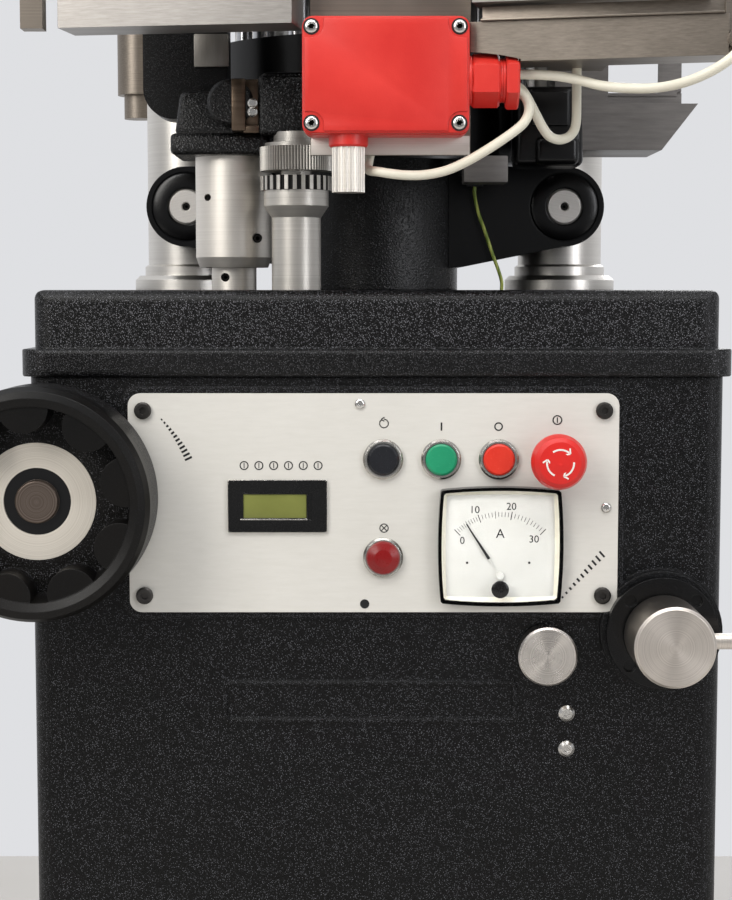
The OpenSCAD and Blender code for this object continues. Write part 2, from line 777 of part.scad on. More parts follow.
module upper_cam() {
    r = column_clear - 2 * gap;
    low = upper_head_z - head_h - 10;
    inner = pitch_r + barrel_d / 2 + 0.8;
    color([0.3, 0.3, 0.31]) difference() {
        rotate_extrude() polygon([
            [inner, low], [r, low], [r, crown_z], [r - 7, crown_z],
            [r - 7, upper_head_z - head_h - gap], [inner, upper_head_z - head_h - gap]]);
        roll_slot(low - 1, 80);
    }
}

// A pressure roll with its own journals, its axis pointing to the back
module roll(z) {
    r = roll_d / 2;
    translate([0, pitch_r - roll_w / 2, z]) rotate([-90, 0, 0]) {
        rotate_extrude() polygon([
            [0, 0], [r * 0.5, 0], [r * 0.55, 3], [r * 0.8, 3], [r * 0.86, 0], [r - 2, 0], [r, 2],
            [r, roll_w - 2], [r - 2, roll_w], [r * 0.86, roll_w], [r * 0.8, roll_w - 3],
            [r * 0.55, roll_w - 3], [r * 0.5, roll_w], [0, roll_w]]);
        translate([0, 0, -15]) cylinder(d = journal_d, h = roll_w + 30);
    }
}

module lower_roll() {
    color([0.7, 0.7, 0.71]) roll(roll_z);
}

module upper_roll() {
    color([0.7, 0.7, 0.71]) roll(upper_roll_z);
}

// The tapered arm seen from the front, on the right of the column
module arm_outline() {
    end_r = 34.5;
    x = column_gap / 2 - 6;
    translate([x, roll_z - 3]) circle(end_r);
    polygon([[20, roll_z + 31.5], [x, roll_z + 31.5], [x + end_r * 0.42, roll_z - 34.3],
        [76, roll_z - 55], [20, roll_z - 59]]);
}

module lower_crosshead() {
    slot_half = roll_d / 2 + 4;
    near = pitch_r - roll_w / 2 - roll_play - cheek_t;
    far = pitch_r + roll_w / 2 + roll_play;
    color([0.05, 0.05, 0.055]) difference() {
        union() {
            from_front(arm_front, 88) arm_outline();
            mirror([1, 0, 0]) from_front(arm_front, 88) arm_outline();
            for (s = [-1, 1])
                translate([s * (slot_half + 6) - 6, 20, roll_z - 30])
                    cube([12, far + cheek_t - 20, 58]);
            translate([-slot_half, near, roll_z - 30]) cube([2 * slot_half, cheek_t, 58]);
            translate([-slot_half, far, roll_z - 30]) cube([2 * slot_half, cheek_t, 58]);
        }
        translate([0, 0, deck_z - 1]) cylinder(d = centre_d + 2 * fit, h = 200);
        for (s = [-1, 1]) {
            translate([s * column_gap / 2, column_back, deck_z])
                cylinder(d = column_d + 2 * fit, h = 200);
            rod_back(s * pin_x, arm_front - 1, pin_z, pin_d + 2 * fit, 40);
            rod_back(s * pin_x, arm_front - 1, pin_z, 60, 4);
        }
        rod_back(0, near - 1, roll_z, journal_d + 2 * fit, far - near + cheek_t + 2);
    }
}

module crosshead_pins() {
    color([0.75, 0.75, 0.74]) for (s = [-1, 1]) difference() {
        rod_back(s * pin_x, arm_front - 1, pin_z, pin_d, 38);
        rod_back(s * pin_x, arm_front - 2, pin_z, 7, 12);
    }
}

module rear_columns() {
    r = column_d / 2;
    foot_r = column_foot_d / 2;
    color([0.72, 0.72, 0.71]) for (s = [-1, 1])
        translate([s * column_gap / 2, column_back, 0]) rotate_extrude() polygon([
            [0, deck_z], [foot_r, deck_z], [foot_r, deck_z + 9], [foot_r - 4, deck_z + 13],
            [r + 3, deck_z + 13], [r + 3, deck_z + 21], [r, deck_z + 23], [r, crown_z],
            [0, crown_z]]);
}

module crown() {
    near = pitch_r - roll_w / 2 - roll_play - cheek_t;
    far = pitch_r + roll_w / 2 + roll_play;
    boss = column_d / 2 + 20;
    color([0.05, 0.05, 0.055]) difference() {
        union() {
            translate([0, 0, crown_z]) cylinder(r = guide_d / 2 + 10, h = 28);
            translate([0, 0, crown_z]) cylinder(r = 62, h = crown_t);
            for (s = [-1, 1]) translate([s * column_gap / 2, column_back, crown_z])
                cylinder(r = boss, h = crown_t);
            translate([-column_gap / 2, column_back - 45, crown_z])
                cube([column_gap, 90, crown_t]);
            translate([-roll_d / 2 - 24, near, crown_z])
                cube([roll_d + 48, far + cheek_t - near, crown_t]);
            translate([-30, hopper_y, crown_z + 8]) cube([60, -hopper_y, 20]);
            translate([0, hopper_y, crown_z + 8]) cylinder(r = spout_d / 2 + 16, h = 20);
        }
        translate([-roll_d / 2 - 4, near + cheek_t, crown_z - 1])
            cube([roll_d + 8, far - near - cheek_t, crown_t + 2]);
        rod_back(0, near - 1, upper_roll_z, journal_d + 2 * fit, far - near + cheek_t + 2);
        translate([0, 0, crown_z - 1]) cylinder(d = shaft_d + 2 * fit, h = 60);
        translate([0, hopper_y, crown_z]) cylinder(d = spout_d + 2 * fit, h = 60);
    }
    color([0.7, 0.7, 0.7]) for (s = [-1, 1])
        translate([s * column_gap / 2, column_back, crown_z + crown_t])
            cylinder(d = 62, h = 24, $fn = 6);
}

module hopper() {
    r = spout_d / 2;
    color([0.75, 0.75, 0.74]) translate([0, hopper_y, 0]) rotate_extrude() polygon([
        [r - 2, spout_low], [r, spout_low], [r, crown_z + 28], [r + 12, crown_z + 28],
        [r + 12, crown_z + 34], [r, crown_z + 34], [r, cone_z],
        [hopper_d / 2 - 2, cone_z + hopper_h], [hopper_d / 2 - 2, cone_z + hopper_h + 40],
        [hopper_d / 2 + 4, cone_z + hopper_h + 40], [hopper_d / 2 + 4, cone_z + hopper_h + 43],
        [hopper_d / 2 - 4, cone_z + hopper_h + 43], [hopper_d / 2 - 4, cone_z + hopper_h + 1],
        [r - 2, cone_z + 1]]);
}

module feed_frame() {
    low = table_z + gap;
    h = feed_frame_h;
    color([0.66, 0.5, 0.24]) translate([0, 0, low]) linear_extrude(h) difference() {
        translate([0, -148]) round_rect(170, 112, 16);
        translate([-50, -170]) round_rect(52, 50, 10);
        translate([0, -178]) round_rect(36, 34, 8);
        translate([50, -170]) round_rect(52, 50, 10);
        translate([-46, -118]) round_rect(64, 36, 10);
        translate([36, -118]) round_rect(84, 36, 10);
    }
}

module post_sleeve() {
    r = sleeve_d / 2;
    color([0.75, 0.74, 0.72]) difference() {
        translate([post_x, post_y, 0]) rotate_extrude() polygon([
            [0, deck_z], [18, deck_z], [18, sleeve_z], [r - 3, sleeve_z], [r, sleeve_z + 8],
            [r, sleeve_top], [0, sleeve_top]]);
        rod_back(post_x - 19, post_y - r - 2, deck_z + 73, 5.5, 24);
        rod_back(post_x + 20, post_y - r - 2, deck_z + 41, 7.5, 28);
        rod_back(post_x - 6, post_y - 22, deck_z + 10, 7, 14);
    }
}

module post_clamp() {
    r = sleeve_d / 2;
    color([0.05, 0.05, 0.055]) difference() {
        union() {
            translate([post_x, post_y, sleeve_top - 6]) rotate_extrude() polygon([
                [0, 0], [r + 6, 0], [r + 9, 4], [r + 9, 14], [r + 4, 20], [r + 1, 44], [r - 9, 48],
                [0, 48]]);
            rotate([0, 0, atan2(post_y, post_x)])
                translate([guide_d / 2 + gap, -15, sleeve_top]) cube([40, 30, 22]);
        }
        translate([post_x, post_y, sleeve_top - 20]) cylinder(d = sleeve_d + 2 * fit, h = 20);
        translate([post_x - 60, post_y + 4, bracket_z]) cube([140, 60, 60]);
    }
}

// The upright casting at the left that carries the shelf beside the die table
module cam_bracket() {
    r = table_d / 2 + 2;
    color([0.05, 0.05, 0.055]) difference() {
        union() {
            intersection() {
                translate([-187, post_y + 4, bracket_z]) cube([68, 34, table_z - 12 - bracket_z]);
                from_front(post_y - 10, 80) {
                    translate([-187, bracket_z + 24]) square([68, 200]);
                    translate([-163, bracket_z]) square([44, 60]);
                    translate([-163, bracket_z + 24]) circle(24);
                }
            }
            translate([0, 0, table_z - 12]) intersection() {
                rotate([0, 0, 205]) rotate_extrude(angle = 115)
                    translate([r, 0]) square([218 - r, 12]);
            }
        }
        translate([0, 0, bracket_z - 1]) cylinder(r = r, h = crown_z - bracket_z);
    }
}

module adjuster_stem() {
    r = adjuster_tube_d / 2;
    color([0.72, 0.72, 0.7]) translate([adjuster_x, adjuster_y, 0]) {
        rotate_extrude() polygon([
            [0, deck_z], [r, deck_z], [r, deck_z + 56], [r + 6, deck_z + 65], [r + 6, deck_z + 77],
            [0, deck_z + 77]]);
        translate([0, 0, deck_z + 77]) difference() {
            cylinder(d = drum_d - 1, h = 11);
            for (i = [0 : notch_count - 1]) rotate([0, 0, 360 / notch_count * i])
                translate([drum_d / 2, 0, -1]) cylinder(d = 4, h = 13);
        }
        translate([0, 0, deck_z + 88]) cylinder(r = 12, h = 26);
        translate([0, 0, deck_z + 114]) cylinder(r = 17.5, h = 8);
    }
}

module fill_drum() {
    color([0.66, 0.66, 0.65]) translate([adjuster_x, adjuster_y, drum_z]) difference() {
        union() {
            linear_extrude(drum_h) polygon([for (i = [0 : 2 * knurl_count - 1])
                let (a = 180 / knurl_count * i, r = drum_d / 2 - (i % 2) * 1.2)
                r * [cos(a), sin(a)]]);
            translate([0, 0, drum_h]) cylinder(d = drum_d - 8, h = 3);
        }
        translate([0, 0, -1]) cylinder(r = 12 + fit, h = drum_h + 5);
    }
}

module fill_cam_arm() {
    top = deck_z + 171;
    low = deck_z + 122;
    color([0.05, 0.05, 0.055]) difference() {
        union() {
            translate([-95, -206, low]) cube([46, 65, top - low]);
            translate([-110, -206, low + 6]) cube([16, 12, top - low - 14]);
        }
        translate([0, 0, low - 1]) cylinder(d = guide_d + 2 * gap, h = 100);
        translate([post_x, post_y, low - 1])
            cylinder(r = sleeve_d / 2 + 9 + gap, h = sleeve_top + 42 + gap - low + 1);
        translate([-70, -208, top - 10]) rotate([0, 30, 0]) cube([60, 80, 30]);
    }
}

// A box chute with an open top and a slanted open end at the right
module discharge_chute() {
    y = -104;
    d = 84;
    t = sheet_t;
    top = chute_z + 55;
    rim = chute_z + 38;
    duct_w = 44;
    strap_x = 246;
    color([0.3, 0.31, 0.33]) difference() {
        union() {
            from_front(y, d) chute_outline(0, top);
            from_front(y, d) translate([148, top - 1]) square([duct_w, table_z - 14 - top]);
            translate([column_gap / 2 + 6, y + d - t, chute_z + 10]) cube([26, 66, 30]);
            translate([strap_x, y + d - 4, rim]) cube([20, 4, roof_z - rim]);
        }
        from_front(y + t, d - 2 * t) difference() {
            union() {
                chute_outline(t, top - t);
                translate([148 + t, top - 2 * t]) square([duct_w - 2 * t, 200]);
            }
            translate([140, chute_z - 50]) square([200, 50 + t]);
        }
        from_front(y + t, d - 2 * t) polygon([[233, chute_z + t], [262, rim],
            [262, top + 1], [300, top + 1], [300, chute_z + t]]);
        translate([148 + duct_w, y - 1, rim]) cube([100, d - 3, 40]);
        translate([262, y - 1, rim]) cube([20, d - 3, 40]);
        translate([0, 0, chute_z]) cylinder(r = guide_d / 2 + 12, h = crown_z - chute_z);
        translate([column_gap / 2, column_back, chute_z - 1])
            cylinder(d = column_d + 2 * fit, h = 100);
    }
}

module chute_outline(inset, top) {
    polygon([[148 + inset, chute_z], [237 - inset, chute_z], [266.5 - inset, chute_z + 38],
        [266.5 - inset, top], [148 + inset, top]]);
}

// The fixed half of a guard hinge: a knuckle with its pin standing up
module guard_pivot(at, z) {
    for (rise = hinge_rises) translate([at[0], at[1], z + rise]) {
        cylinder(r = hinge_r, h = 18);
        cylinder(d = guard_pin_d, h = 40);
    }
}

// The moving half of a guard hinge, which drops over the pin
module guard_knuckle(z) {
    for (rise = hinge_rises) translate([0, 0, z + rise + 18 + gap]) cylinder(r = hinge_r, h = 24);
}

module guard_pin_bores(z) {
    for (rise = hinge_rises) translate([0, 0, z + rise + 17])
        cylinder(d = guard_pin_d + 2 * fit, h = 27);
}

// A sheet door folded as a shallow pan, open to the back, its hinge at the origin
module door_pan(w, d, h, hand) {
    difference() {
        union() {
            translate([hand > 0 ? hinge_r + 1 : -w, -hinge_r, 0]) cube([w - hinge_r - 1, d, h]);
            for (rise = hinge_rises) translate([hand > 0 ? 0 : -hinge_r - 3, -hinge_r, rise + 18 + gap])
                cube([hinge_r + 3, guard_t, 24]);
            guard_knuckle(0);
        }
        translate([hand > 0 ? hinge_r + 1 + guard_t : -w + guard_t, guard_t - hinge_r, guard_t])
            cube([w - hinge_r - 1 - 2 * guard_t, d, h - 2 * guard_t]);
        guard_pin_bores(0);
    }
}

// A roof, hanging posts, the plate behind the switch and the rail under the right door
module guard_frame() {
    post = 16;
    color([0.66, 0.64, 0.61]) {
        translate([0, 0, roof_z]) linear_extrude(roof_t) difference() {
            polygon([[left_hinge[0] - 23, left_hinge[1] - 6], [switch_x - 56, switch_front - 6],
                [rail_at[0], switch_front - 6], [rail_end[0] + 16, rail_end[1] - 14],
                [rail_end[0] + 16, -14], [-204, -14],
                [-204, 150], [left_hinge[0] - 23, 150]]);
            circle(r = guide_d / 2 + 10 + gap);
            translate([0, hopper_y]) circle(d = spout_d + 34);
            translate([-30 - gap, hopper_y]) square([60 + 2 * gap, 80]);
            translate([-column_gap / 2, column_back]) circle(r = column_d / 2 + 22);
        }
        translate([left_hinge[0] - hinge_r - post - 1, left_hinge[1] - 4, door_z])
            cube([post, post, roof_z - door_z]);
        for (rise = hinge_rises) translate([left_hinge[0] - 8, left_hinge[1] - 2, door_z + rise])
            cube([8, 4, 18]);
        guard_pivot(left_hinge, door_z);
        translate([-18, plate_y + plate_t, switch_z + 20]) cube([44, 14, roof_z - switch_z - 20]);
        translate([-48, plate_y, switch_z - 12.5]) cube([115, plate_t, switch_h + 60]);
        translate([60, plate_y, rail_z]) cube([7, 12, rail_h]);
        translate([-224, 130, deck_z + 162]) cylinder(r = 14, h = 22);
        translate([-224, 130, deck_z + 184]) cylinder(r = 20, h = roof_z - deck_z - 184);
        translate([rail_end[0] - 2, rail_end[1] + 3, rail_z]) cube([post, post, roof_z - rail_z]);
        for (rise = hinge_rises) translate([right_hinge[0], right_hinge[1] - 2, right_door_z + rise])
            cube([8, 12, 18]);
        guard_pivot(right_hinge, right_door_z);
        translate([right_route[14][0], rail_end[1] + 4, right_route[14][2]]) rotate([90, 0, 0])
            cylinder(r = 7, h = rail_end[1] + 4 - right_route[14][1]);
        difference() {
            translate([rail_at[0], rail_at[1], rail_z]) rotate([0, 0, -rail_turn]) difference() {
                cube([rail_l, rail_d, rail_h]);
                translate([-1, guard_t, guard_t]) cube([rail_l + 2, rail_d, rail_h - 2 * guard_t]);
            }
            translate([switch_x, switch_front - gap, switch_z - gap])
                cube([switch_w / 2 + gap, switch_d + gap, switch_h + 2 * gap]);
            translate([switch_x + switch_w / 2, gland_y, gland_z]) rotate([0, 90, 0])
                cylinder(d = gland_d + 2 * gap, h = gland_end + gap - switch_x - switch_w / 2);
        }
        translate([rail_at[0] + 61, rail_at[1] + 4, loop_end]) cube([40, 50, rail_z + 24.5 - loop_end]);
    }
}

module left_guard_door() {
    color([0.72, 0.7, 0.67]) translate([left_hinge[0], left_hinge[1], door_z])
        rotate([0, 0, -left_door_ajar])
            door_pan(left_door_w, left_door_d, roof_z - door_z - 6, 1);
}

module right_guard_door() {
    color([0.72, 0.7, 0.67]) translate([right_hinge[0], right_hinge[1], right_door_z])
        rotate([0, 0, -rail_turn])
            door_pan(right_hinge_local[0] - 4, 30, roof_z - right_door_z - 6, -1);
}

module interlock_switch() {
    color([0.8, 0.08, 0.06]) {
        translate([switch_x, 0, switch_z + switch_h / 2])
            from_front(switch_front, switch_d) round_rect(switch_w, switch_h, 7);
        translate([-20.5, gland_y, switch_z - 8]) cylinder(d = 28, h = 9);
        difference() {
            translate([switch_x + switch_w / 2 - 1, gland_y, gland_z]) rotate([0, 90, 0]) {
                cylinder(d = gland_d - 2.5, h = 22, $fn = 6);
                cylinder(d = 28, h = 26);
                translate([0, 0, 26])
                    cylinder(d = gland_d, h = gland_end - switch_x - switch_w / 2 - 25, $fn = 6);
            }
            translate([seal_x, gland_y, gland_z]) rotate([0, 90, 0])
                cylinder(d = mouth_d, h = mouth_l + 1);
        }
    }
}

module switch_actuator() {
    color([0.75, 0.73, 0.7]) translate([-20.5, gland_y, switch_z - 40])
        linear_extrude(32) difference() {
            circle(d = 23.5);
            for (i = [0 : 19]) rotate(18 * i) translate([12.4, 0]) circle(1.5);
        }
}

module cable_right() {
    color([0.88, 0.86, 0.76]) tube_along(right_route, cable_d, 10);
}

module cable_left() {
    color([0.88, 0.86, 0.76]) tube_along(left_route, cable_d, 10);
}

module cable_loop() {
    color([0.88, 0.86, 0.76]) tube_along(loop_route, cable_d, 10);
}

module earth_wire() {
    color([0.5, 0.62, 0.2]) tube_along(earth_route, wire_d, 8);
}

module control_panel() {
    color([0.86, 0.84, 0.79]) difference() {
        translate([panel_x, 0, panel_z]) from_front(panel_y, panel_t)
            round_rect(panel_w, panel_h, panel_r);
        for (x = [reset_x, start_x, stop_x, emergency_x])
            rod_back(x, panel_y - 1, button_z, button_hole_d, 6);
        rod_back(reset_x, panel_y - 1, lamp_z, button_hole_d, 6);
        rod_back(meter_x, panel_y - 1, meter_z, 58, 6);
        translate([counter_x, 0, counter_z]) from_front(panel_y - 1, 6)
            square([counter_w - 4, counter_h - 5], center = true);
    }
}

module panel_screws() {
    color([0.04, 0.04, 0.04])
        for (sx = [-1, 1], sz = [-1, 1]) difference() {
            rod_back(panel_x + sx * (panel_w / 2 - screw_in_x), panel_y - 3.5,
                panel_z + sz * (panel_h / 2 - screw_in_z), 12.5, 3.5);
            translate([panel_x + sx * (panel_w / 2 - screw_in_x), panel_y - 4,
                panel_z + sz * (panel_h / 2 - screw_in_z)]) rotate([-90, 0, 0])
                    cylinder(d = 5.8, h = 3, $fn = 6);
        }
}

module bezel_at(x, z) {
    bore = cap_d / 2 + 0.35;
    translate([x, panel_y, z]) rotate([90, 0, 0]) rotate_extrude() polygon([
        [8 + fit, -28], [11, -28], [11, 0], [bezel_d / 2, 0], [bezel_d / 2, 2.5],
        [bezel_d / 2 - 1.5, 4], [bore, 4], [bore, 0.5], [8 + fit, 0.5]]);
}

module button_bezels() {
    color([0.7, 0.68, 0.64]) {
        for (x = [reset_x, start_x, stop_x, emergency_x]) bezel_at(x, button_z);
        bezel_at(reset_x, lamp_z);
    }
}

// A push button with its cap in the bezel and its stem in the barrel
module button(x, z) {
    translate([x, panel_y, z]) rotate([90, 0, 0]) rotate_extrude() polygon([
        [0, -30], [8, -30], [8, 3.6], [cap_d / 2, 3.6], [cap_d / 2, 5.6], [cap_d / 2 - 1.4, 6.8],
        [0, 6.8]]);
}

module reset_button() {
    color([0.06, 0.08, 0.12]) button(reset_x, button_z);
}

module start_button() {
    color([0.05, 0.5, 0.3]) button(start_x, button_z);
}

module stop_button() {
    color([0.85, 0.08, 0.07]) button(stop_x, button_z);
}

module emergency_button() {
    r = mushroom_d / 2;
    color([0.85, 0.1, 0.08]) translate([emergency_x, panel_y, button_z]) rotate([90, 0, 0])
        rotate_extrude() polygon([
            [0, -28], [8, -28], [8, 10], [r - 6, 14], [r, 19], [r, 24], [r - 2, 30], [r - 5, 32.5],
            [0, 34]]);
}

module overload_lens() {
    color([0.55, 0.03, 0.05]) translate([reset_x, panel_y, lamp_z]) rotate([90, 0, 0])
        rotate_extrude() polygon([
            [0, -20], [8, -20], [8, 0.5], [cap_d / 2 + 0.3, 0.5], [cap_d / 2 + 0.3, 4],
            [cap_d / 2 + 1, 4], [cap_d / 2, 6.5], [cap_d / 2 - 5, 8.6], [0, 9.4]]);
}

module tablet_counter() {
    color([0.05, 0.05, 0.055]) translate([counter_x, 0, counter_z]) {
        difference() {
            from_front(panel_y - 2.5, 2.5) round_rect(counter_w, counter_h, 2);
            from_front(panel_y - 3, 1.5) square([counter_w - 22, counter_h - 18], center = true);
        }
        from_front(panel_y - 1, 40) square([counter_w - 5, counter_h - 6], center = true);
    }
}

// A square outline whose four sides bulge a little
module meter_outline(w, h) {
    bulge_r = 420;
    intersection() {
        translate([bulge_r - w / 2, 0]) circle(bulge_r, $fn = 360);
        translate([w / 2 - bulge_r, 0]) circle(bulge_r, $fn = 360);
        translate([0, bulge_r - h / 2]) circle(bulge_r, $fn = 360);
        translate([0, h / 2 - bulge_r]) circle(bulge_r, $fn = 360);
        circle(0.65 * w);
    }
}

module ammeter() {
    color([0.05, 0.05, 0.05]) difference() {
        union() {
            translate([meter_x, 0, meter_z]) from_front(panel_y - 9, 9)
                meter_outline(meter_w, meter_h);
            rod_back(meter_x, panel_y - 2, meter_z, 57, 42);
        }
        translate([meter_x, 0, meter_z]) from_front(panel_y - 10, 6)
            meter_outline(meter_w - 5, meter_h - 5);
        rod_back(meter_x, panel_y - 10, needle_z, 2 + 2 * fit, 20);
    }
}

module ammeter_needle() {
    color([0.04, 0.04, 0.04]) {
        rod_back(meter_x, panel_y - 6.4, needle_z, 2, 12);
        rod_back(meter_x, panel_y - 6.6, needle_z, 7, 1.4);
        translate([meter_x, 0, needle_z]) rotate([0, -33, 0]) from_front(panel_y - 6.2, 0.8)
            polygon([[-0.6, 0], [-0.6, 15], [-1.2, 15], [-0.35, needle_l], [0.35, needle_l],
                [1.2, 15], [0.6, 15], [0.6, 0]]);
    }
}

module ammeter_cover() {
    color([0.85, 0.88, 0.88]) difference() {
        translate([meter_x, 0, meter_z]) from_front(panel_y - 12, 3)
            meter_outline(meter_w, meter_h);
        translate([meter_x, 0, meter_z]) from_front(panel_y - 10, 2)
            meter_outline(meter_w - 5, meter_h - 5);
    }
}

module speed_handwheel() {
    r = wheel_d / 2;
    h = wheel_rim_h;
    low = wheel_gap + 1;
    color([0.06, 0.06, 0.06]) translate([wheel_x, front_y, wheel_z]) rotate([90, 0, 0])
        difference() {
            union() {
                rotate_extrude() polygon([
                    [17.5, low + 6], [44, low + 6], [r - 16, low + 14], [r - 10, low + 2],
                    [r - 6, low], [r, low + 2], [r, low + h - 8], [r - 3, low + h - 2],
                    [r - 8, low + h], [r - 14, low + h - 3], [r - 17, low + 26],
                    [44, low + 28], [17.5, low + 28]]);
                intersection() {
                    for (i = [0 : pad_count - 1]) rotate([0, 0, 360 / pad_count * i + 14])
                        translate([r - 15, 0, low + 16]) cylinder(d = thumb_pad_d, h = h - 20);
                    cylinder(r = r - 4, h = 100);
                }
            }
            translate([0, 0, low + 24]) cylinder(r = 42 + fit, h = 12);
        }
}

module handwheel_hub() {
    low = wheel_gap + 1;
    color([0.8, 0.78, 0.74]) translate([wheel_x, front_y, wheel_z]) rotate([90, 0, 0]) {
        rotate_extrude() polygon([
            [0, low - 74], [speed_shaft_d / 2, low - 74], [speed_shaft_d / 2, low + 6],
            [17.4, low + 6], [17.4, low + 24], [42, low + 24], [42, low + 28.6], [24, low + 28.6],
            [24, low + 27], [15.5, low + 27], [15.5, low + 31], [14.5, low + 32], [0, low + 32]]);
    }
}

module pressure_knob() {
    r = knob_d / 2;
    low = 19;
    color([0.78, 0.77, 0.74]) translate([knob_x, front_y, knob_z]) {
        rotate([90, 0, 0]) rotate_extrude() polygon([
            [0, -44], [10, -44], [10, low - 1], [r - 3, low - 1], [r, low + 1],
            [r, low + knob_l - 2], [r - 2, low + knob_l], [0, low + knob_l]]);
        translate([0, -low - knob_l / 2, 0]) rotate([0, 90, 0]) cylinder(d = bar_d, h = bar_reach);
    }
}

module pressure_flange() {
    color([0.04, 0.04, 0.045]) difference() {
        rod_back(knob_x, front_y - 16, knob_z, ring_d, 8);
        rod_back(knob_x, front_y - 17, knob_z, 20 + 2 * fit, 10);
        for (a = [45 : 90 : 315]) rod_back(knob_x + 34 * cos(a), front_y - 17,
            knob_z + 34 * sin(a), 9, 4);
    }
}

module small_knob() {
    r = small_knob_d / 2;
    color([0.75, 0.74, 0.71]) translate([small_knob_x, front_y, small_knob_z])
        rotate([90, 0, 0]) rotate_extrude() polygon([
            [0, -40], [6, -40], [6, 1], [r - 1, 1], [r, 2], [r, 17], [r - 1.5, 18.5], [0, 18.5]]);
}

pedestal();
base_casing();
base_lid();
rear_door();
motor();
motor_pulley();
drive_belt();
main_pulley();
worm_shaft();
gear_frame();
worm_wheel();
turret_shaft();
turret();
dies();
lower_punches();
upper_punches();
centre_column();
lower_cam();
upper_cam();
lower_crosshead();
crosshead_pins();
lower_roll();
upper_roll();
rear_columns();
crown();
post_sleeve();
post_clamp();
cam_bracket();
adjuster_stem();
fill_drum();
fill_cam_arm();
feed_frame();
hopper();
discharge_chute();
guard_frame();
left_guard_door();
right_guard_door();
interlock_switch();
switch_actuator();
cable_right();
cable_left();
cable_loop();
earth_wire();
control_panel();
panel_screws();
button_bezels();
reset_button();
start_button();
stop_button();
emergency_button();
tablet_counter();
overload_lens();
ammeter();
ammeter_needle();
ammeter_cover();
speed_handwheel();
handwheel_hub();
pressure_knob();
pressure_flange();
small_knob();
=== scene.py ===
# %% [markdown]
# # A rotary tablet press
# The rigid model comes in first, as a fixed frame: every node sits at the origin with its place
# in its mesh. All that follows gives these nodes their finishes and adds the small pieces that
# a casting drawing leaves out, such as cables, screws, the meter's dial and the switch's case.
# Places and sizes are in millimetres and become metres through MM. Only the camera, the
# lights, a cable's diameter and the depth of a finish's bumps are written in metres.

# %% Load the fixed model
import math

import bmesh
import bpy
from mathutils import Matrix, Vector


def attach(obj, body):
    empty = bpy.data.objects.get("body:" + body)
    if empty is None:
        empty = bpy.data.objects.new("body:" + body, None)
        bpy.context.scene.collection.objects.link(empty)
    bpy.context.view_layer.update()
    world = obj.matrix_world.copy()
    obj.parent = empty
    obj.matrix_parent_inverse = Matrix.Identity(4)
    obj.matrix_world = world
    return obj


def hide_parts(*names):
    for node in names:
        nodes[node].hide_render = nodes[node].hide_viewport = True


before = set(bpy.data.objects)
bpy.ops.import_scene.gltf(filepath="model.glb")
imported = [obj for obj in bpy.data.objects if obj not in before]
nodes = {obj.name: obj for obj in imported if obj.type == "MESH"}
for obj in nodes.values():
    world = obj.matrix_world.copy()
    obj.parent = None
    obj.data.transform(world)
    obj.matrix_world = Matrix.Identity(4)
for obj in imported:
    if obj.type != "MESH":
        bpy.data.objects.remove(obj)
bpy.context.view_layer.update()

MM = 0.001
scene = bpy.context.scene

# %% [markdown]
# ## The camera
# The photograph was taken from the height of the machine's lid, looking a little down, with a
# moderate long lens. The lens is written for a frame that is 36 mm high, so the picture's
# upright shape doesn't change it.

# %% Camera
camera_data = bpy.data.cameras.new("camera")
camera_data.sensor_fit = "VERTICAL"
camera_data.sensor_height = 36
camera_data.lens = 73.32
camera = bpy.data.objects.new("camera", camera_data)
camera.location = (-0.008, -1.638, 0.780)
camera.rotation_euler = (math.radians(90 - 4.99), 0, 0)
scene.collection.objects.link(camera)
scene.camera = camera
print("camera at", camera.location[:], "with a lens of", camera_data.lens, "mm")

# %% [markdown]
# ## Cables
# Three cream cables leave the red switch's gland and one thin earth wire runs from a terminal
# to the lid. Each is a fixed length of something flexible, so it is a curve with a round
# section along the same points as in the solid model. The points are joined by a
# smooth spline that passes through each of them.

# %% Cable routes
right_route = [(92, -322, 932), (98, -322, 932), (111, -322.5, 931.8), (127, -325, 930.5),
    (142, -331, 927), (157, -341, 922), (174, -353, 919), (191, -365, 918), (207, -378, 920),
    (221, -387, 925), (233, -391, 932), (242, -389, 940), (245.5, -383, 947), (245, -378, 950),
    (245, -374, 950)]
left_route = [(92, -322, 922), (93.5, -322, 922), (98.3, -322, 921.2), (102.5, -322, 918.7),
    (105.6, -322.4, 915), (107.3, -323, 910.4), (107.3, -323.6, 905.6), (105.3, -324.6, 900.3),
    (101.5, -325.6, 895.6), (93, -326.5, 889), (80, -327, 880.3), (64, -326, 871),
    (49, -325, 864.5), (34, -323.5, 861.5), (20, -323, 861.3), (9, -321.5, 862.5),
    (1, -318.5, 864), (-4.5, -313, 865), (-7, -306.5, 867), (-6.5, -300.5, 870),
    (-5.5, -296.5, 875.5), (-3.5, -295.2, 882.5), (-0.5, -295, 889.5), (2.5, -295, 896.5),
    (4, -295, 903), (4, -295, 909)]
loop_route = [(92, -314, 926), (93.5, -314, 926), (98.3, -314, 925.1), (102.5, -314, 922.5),
    (106, -314, 918), (110, -313.5, 911), (114.3, -312, 903.2), (118.8, -309.5, 895.6),
    (124, -306, 890), (131, -301.5, 888), (138, -297.5, 890), (142.7, -294, 895),
    (144.6, -291.5, 902), (145, -289.8, 912), (145, -289, 925), (145, -289, 934),
    (145, -289, 940)]
earth_route = [(85, -56, 868), (85, -56, 861), (88, -58, 846), (94, -60.5, 829),
    (100, -62, 811), (105.5, -63, 796), (108, -63, 787), (108, -63, 780)]

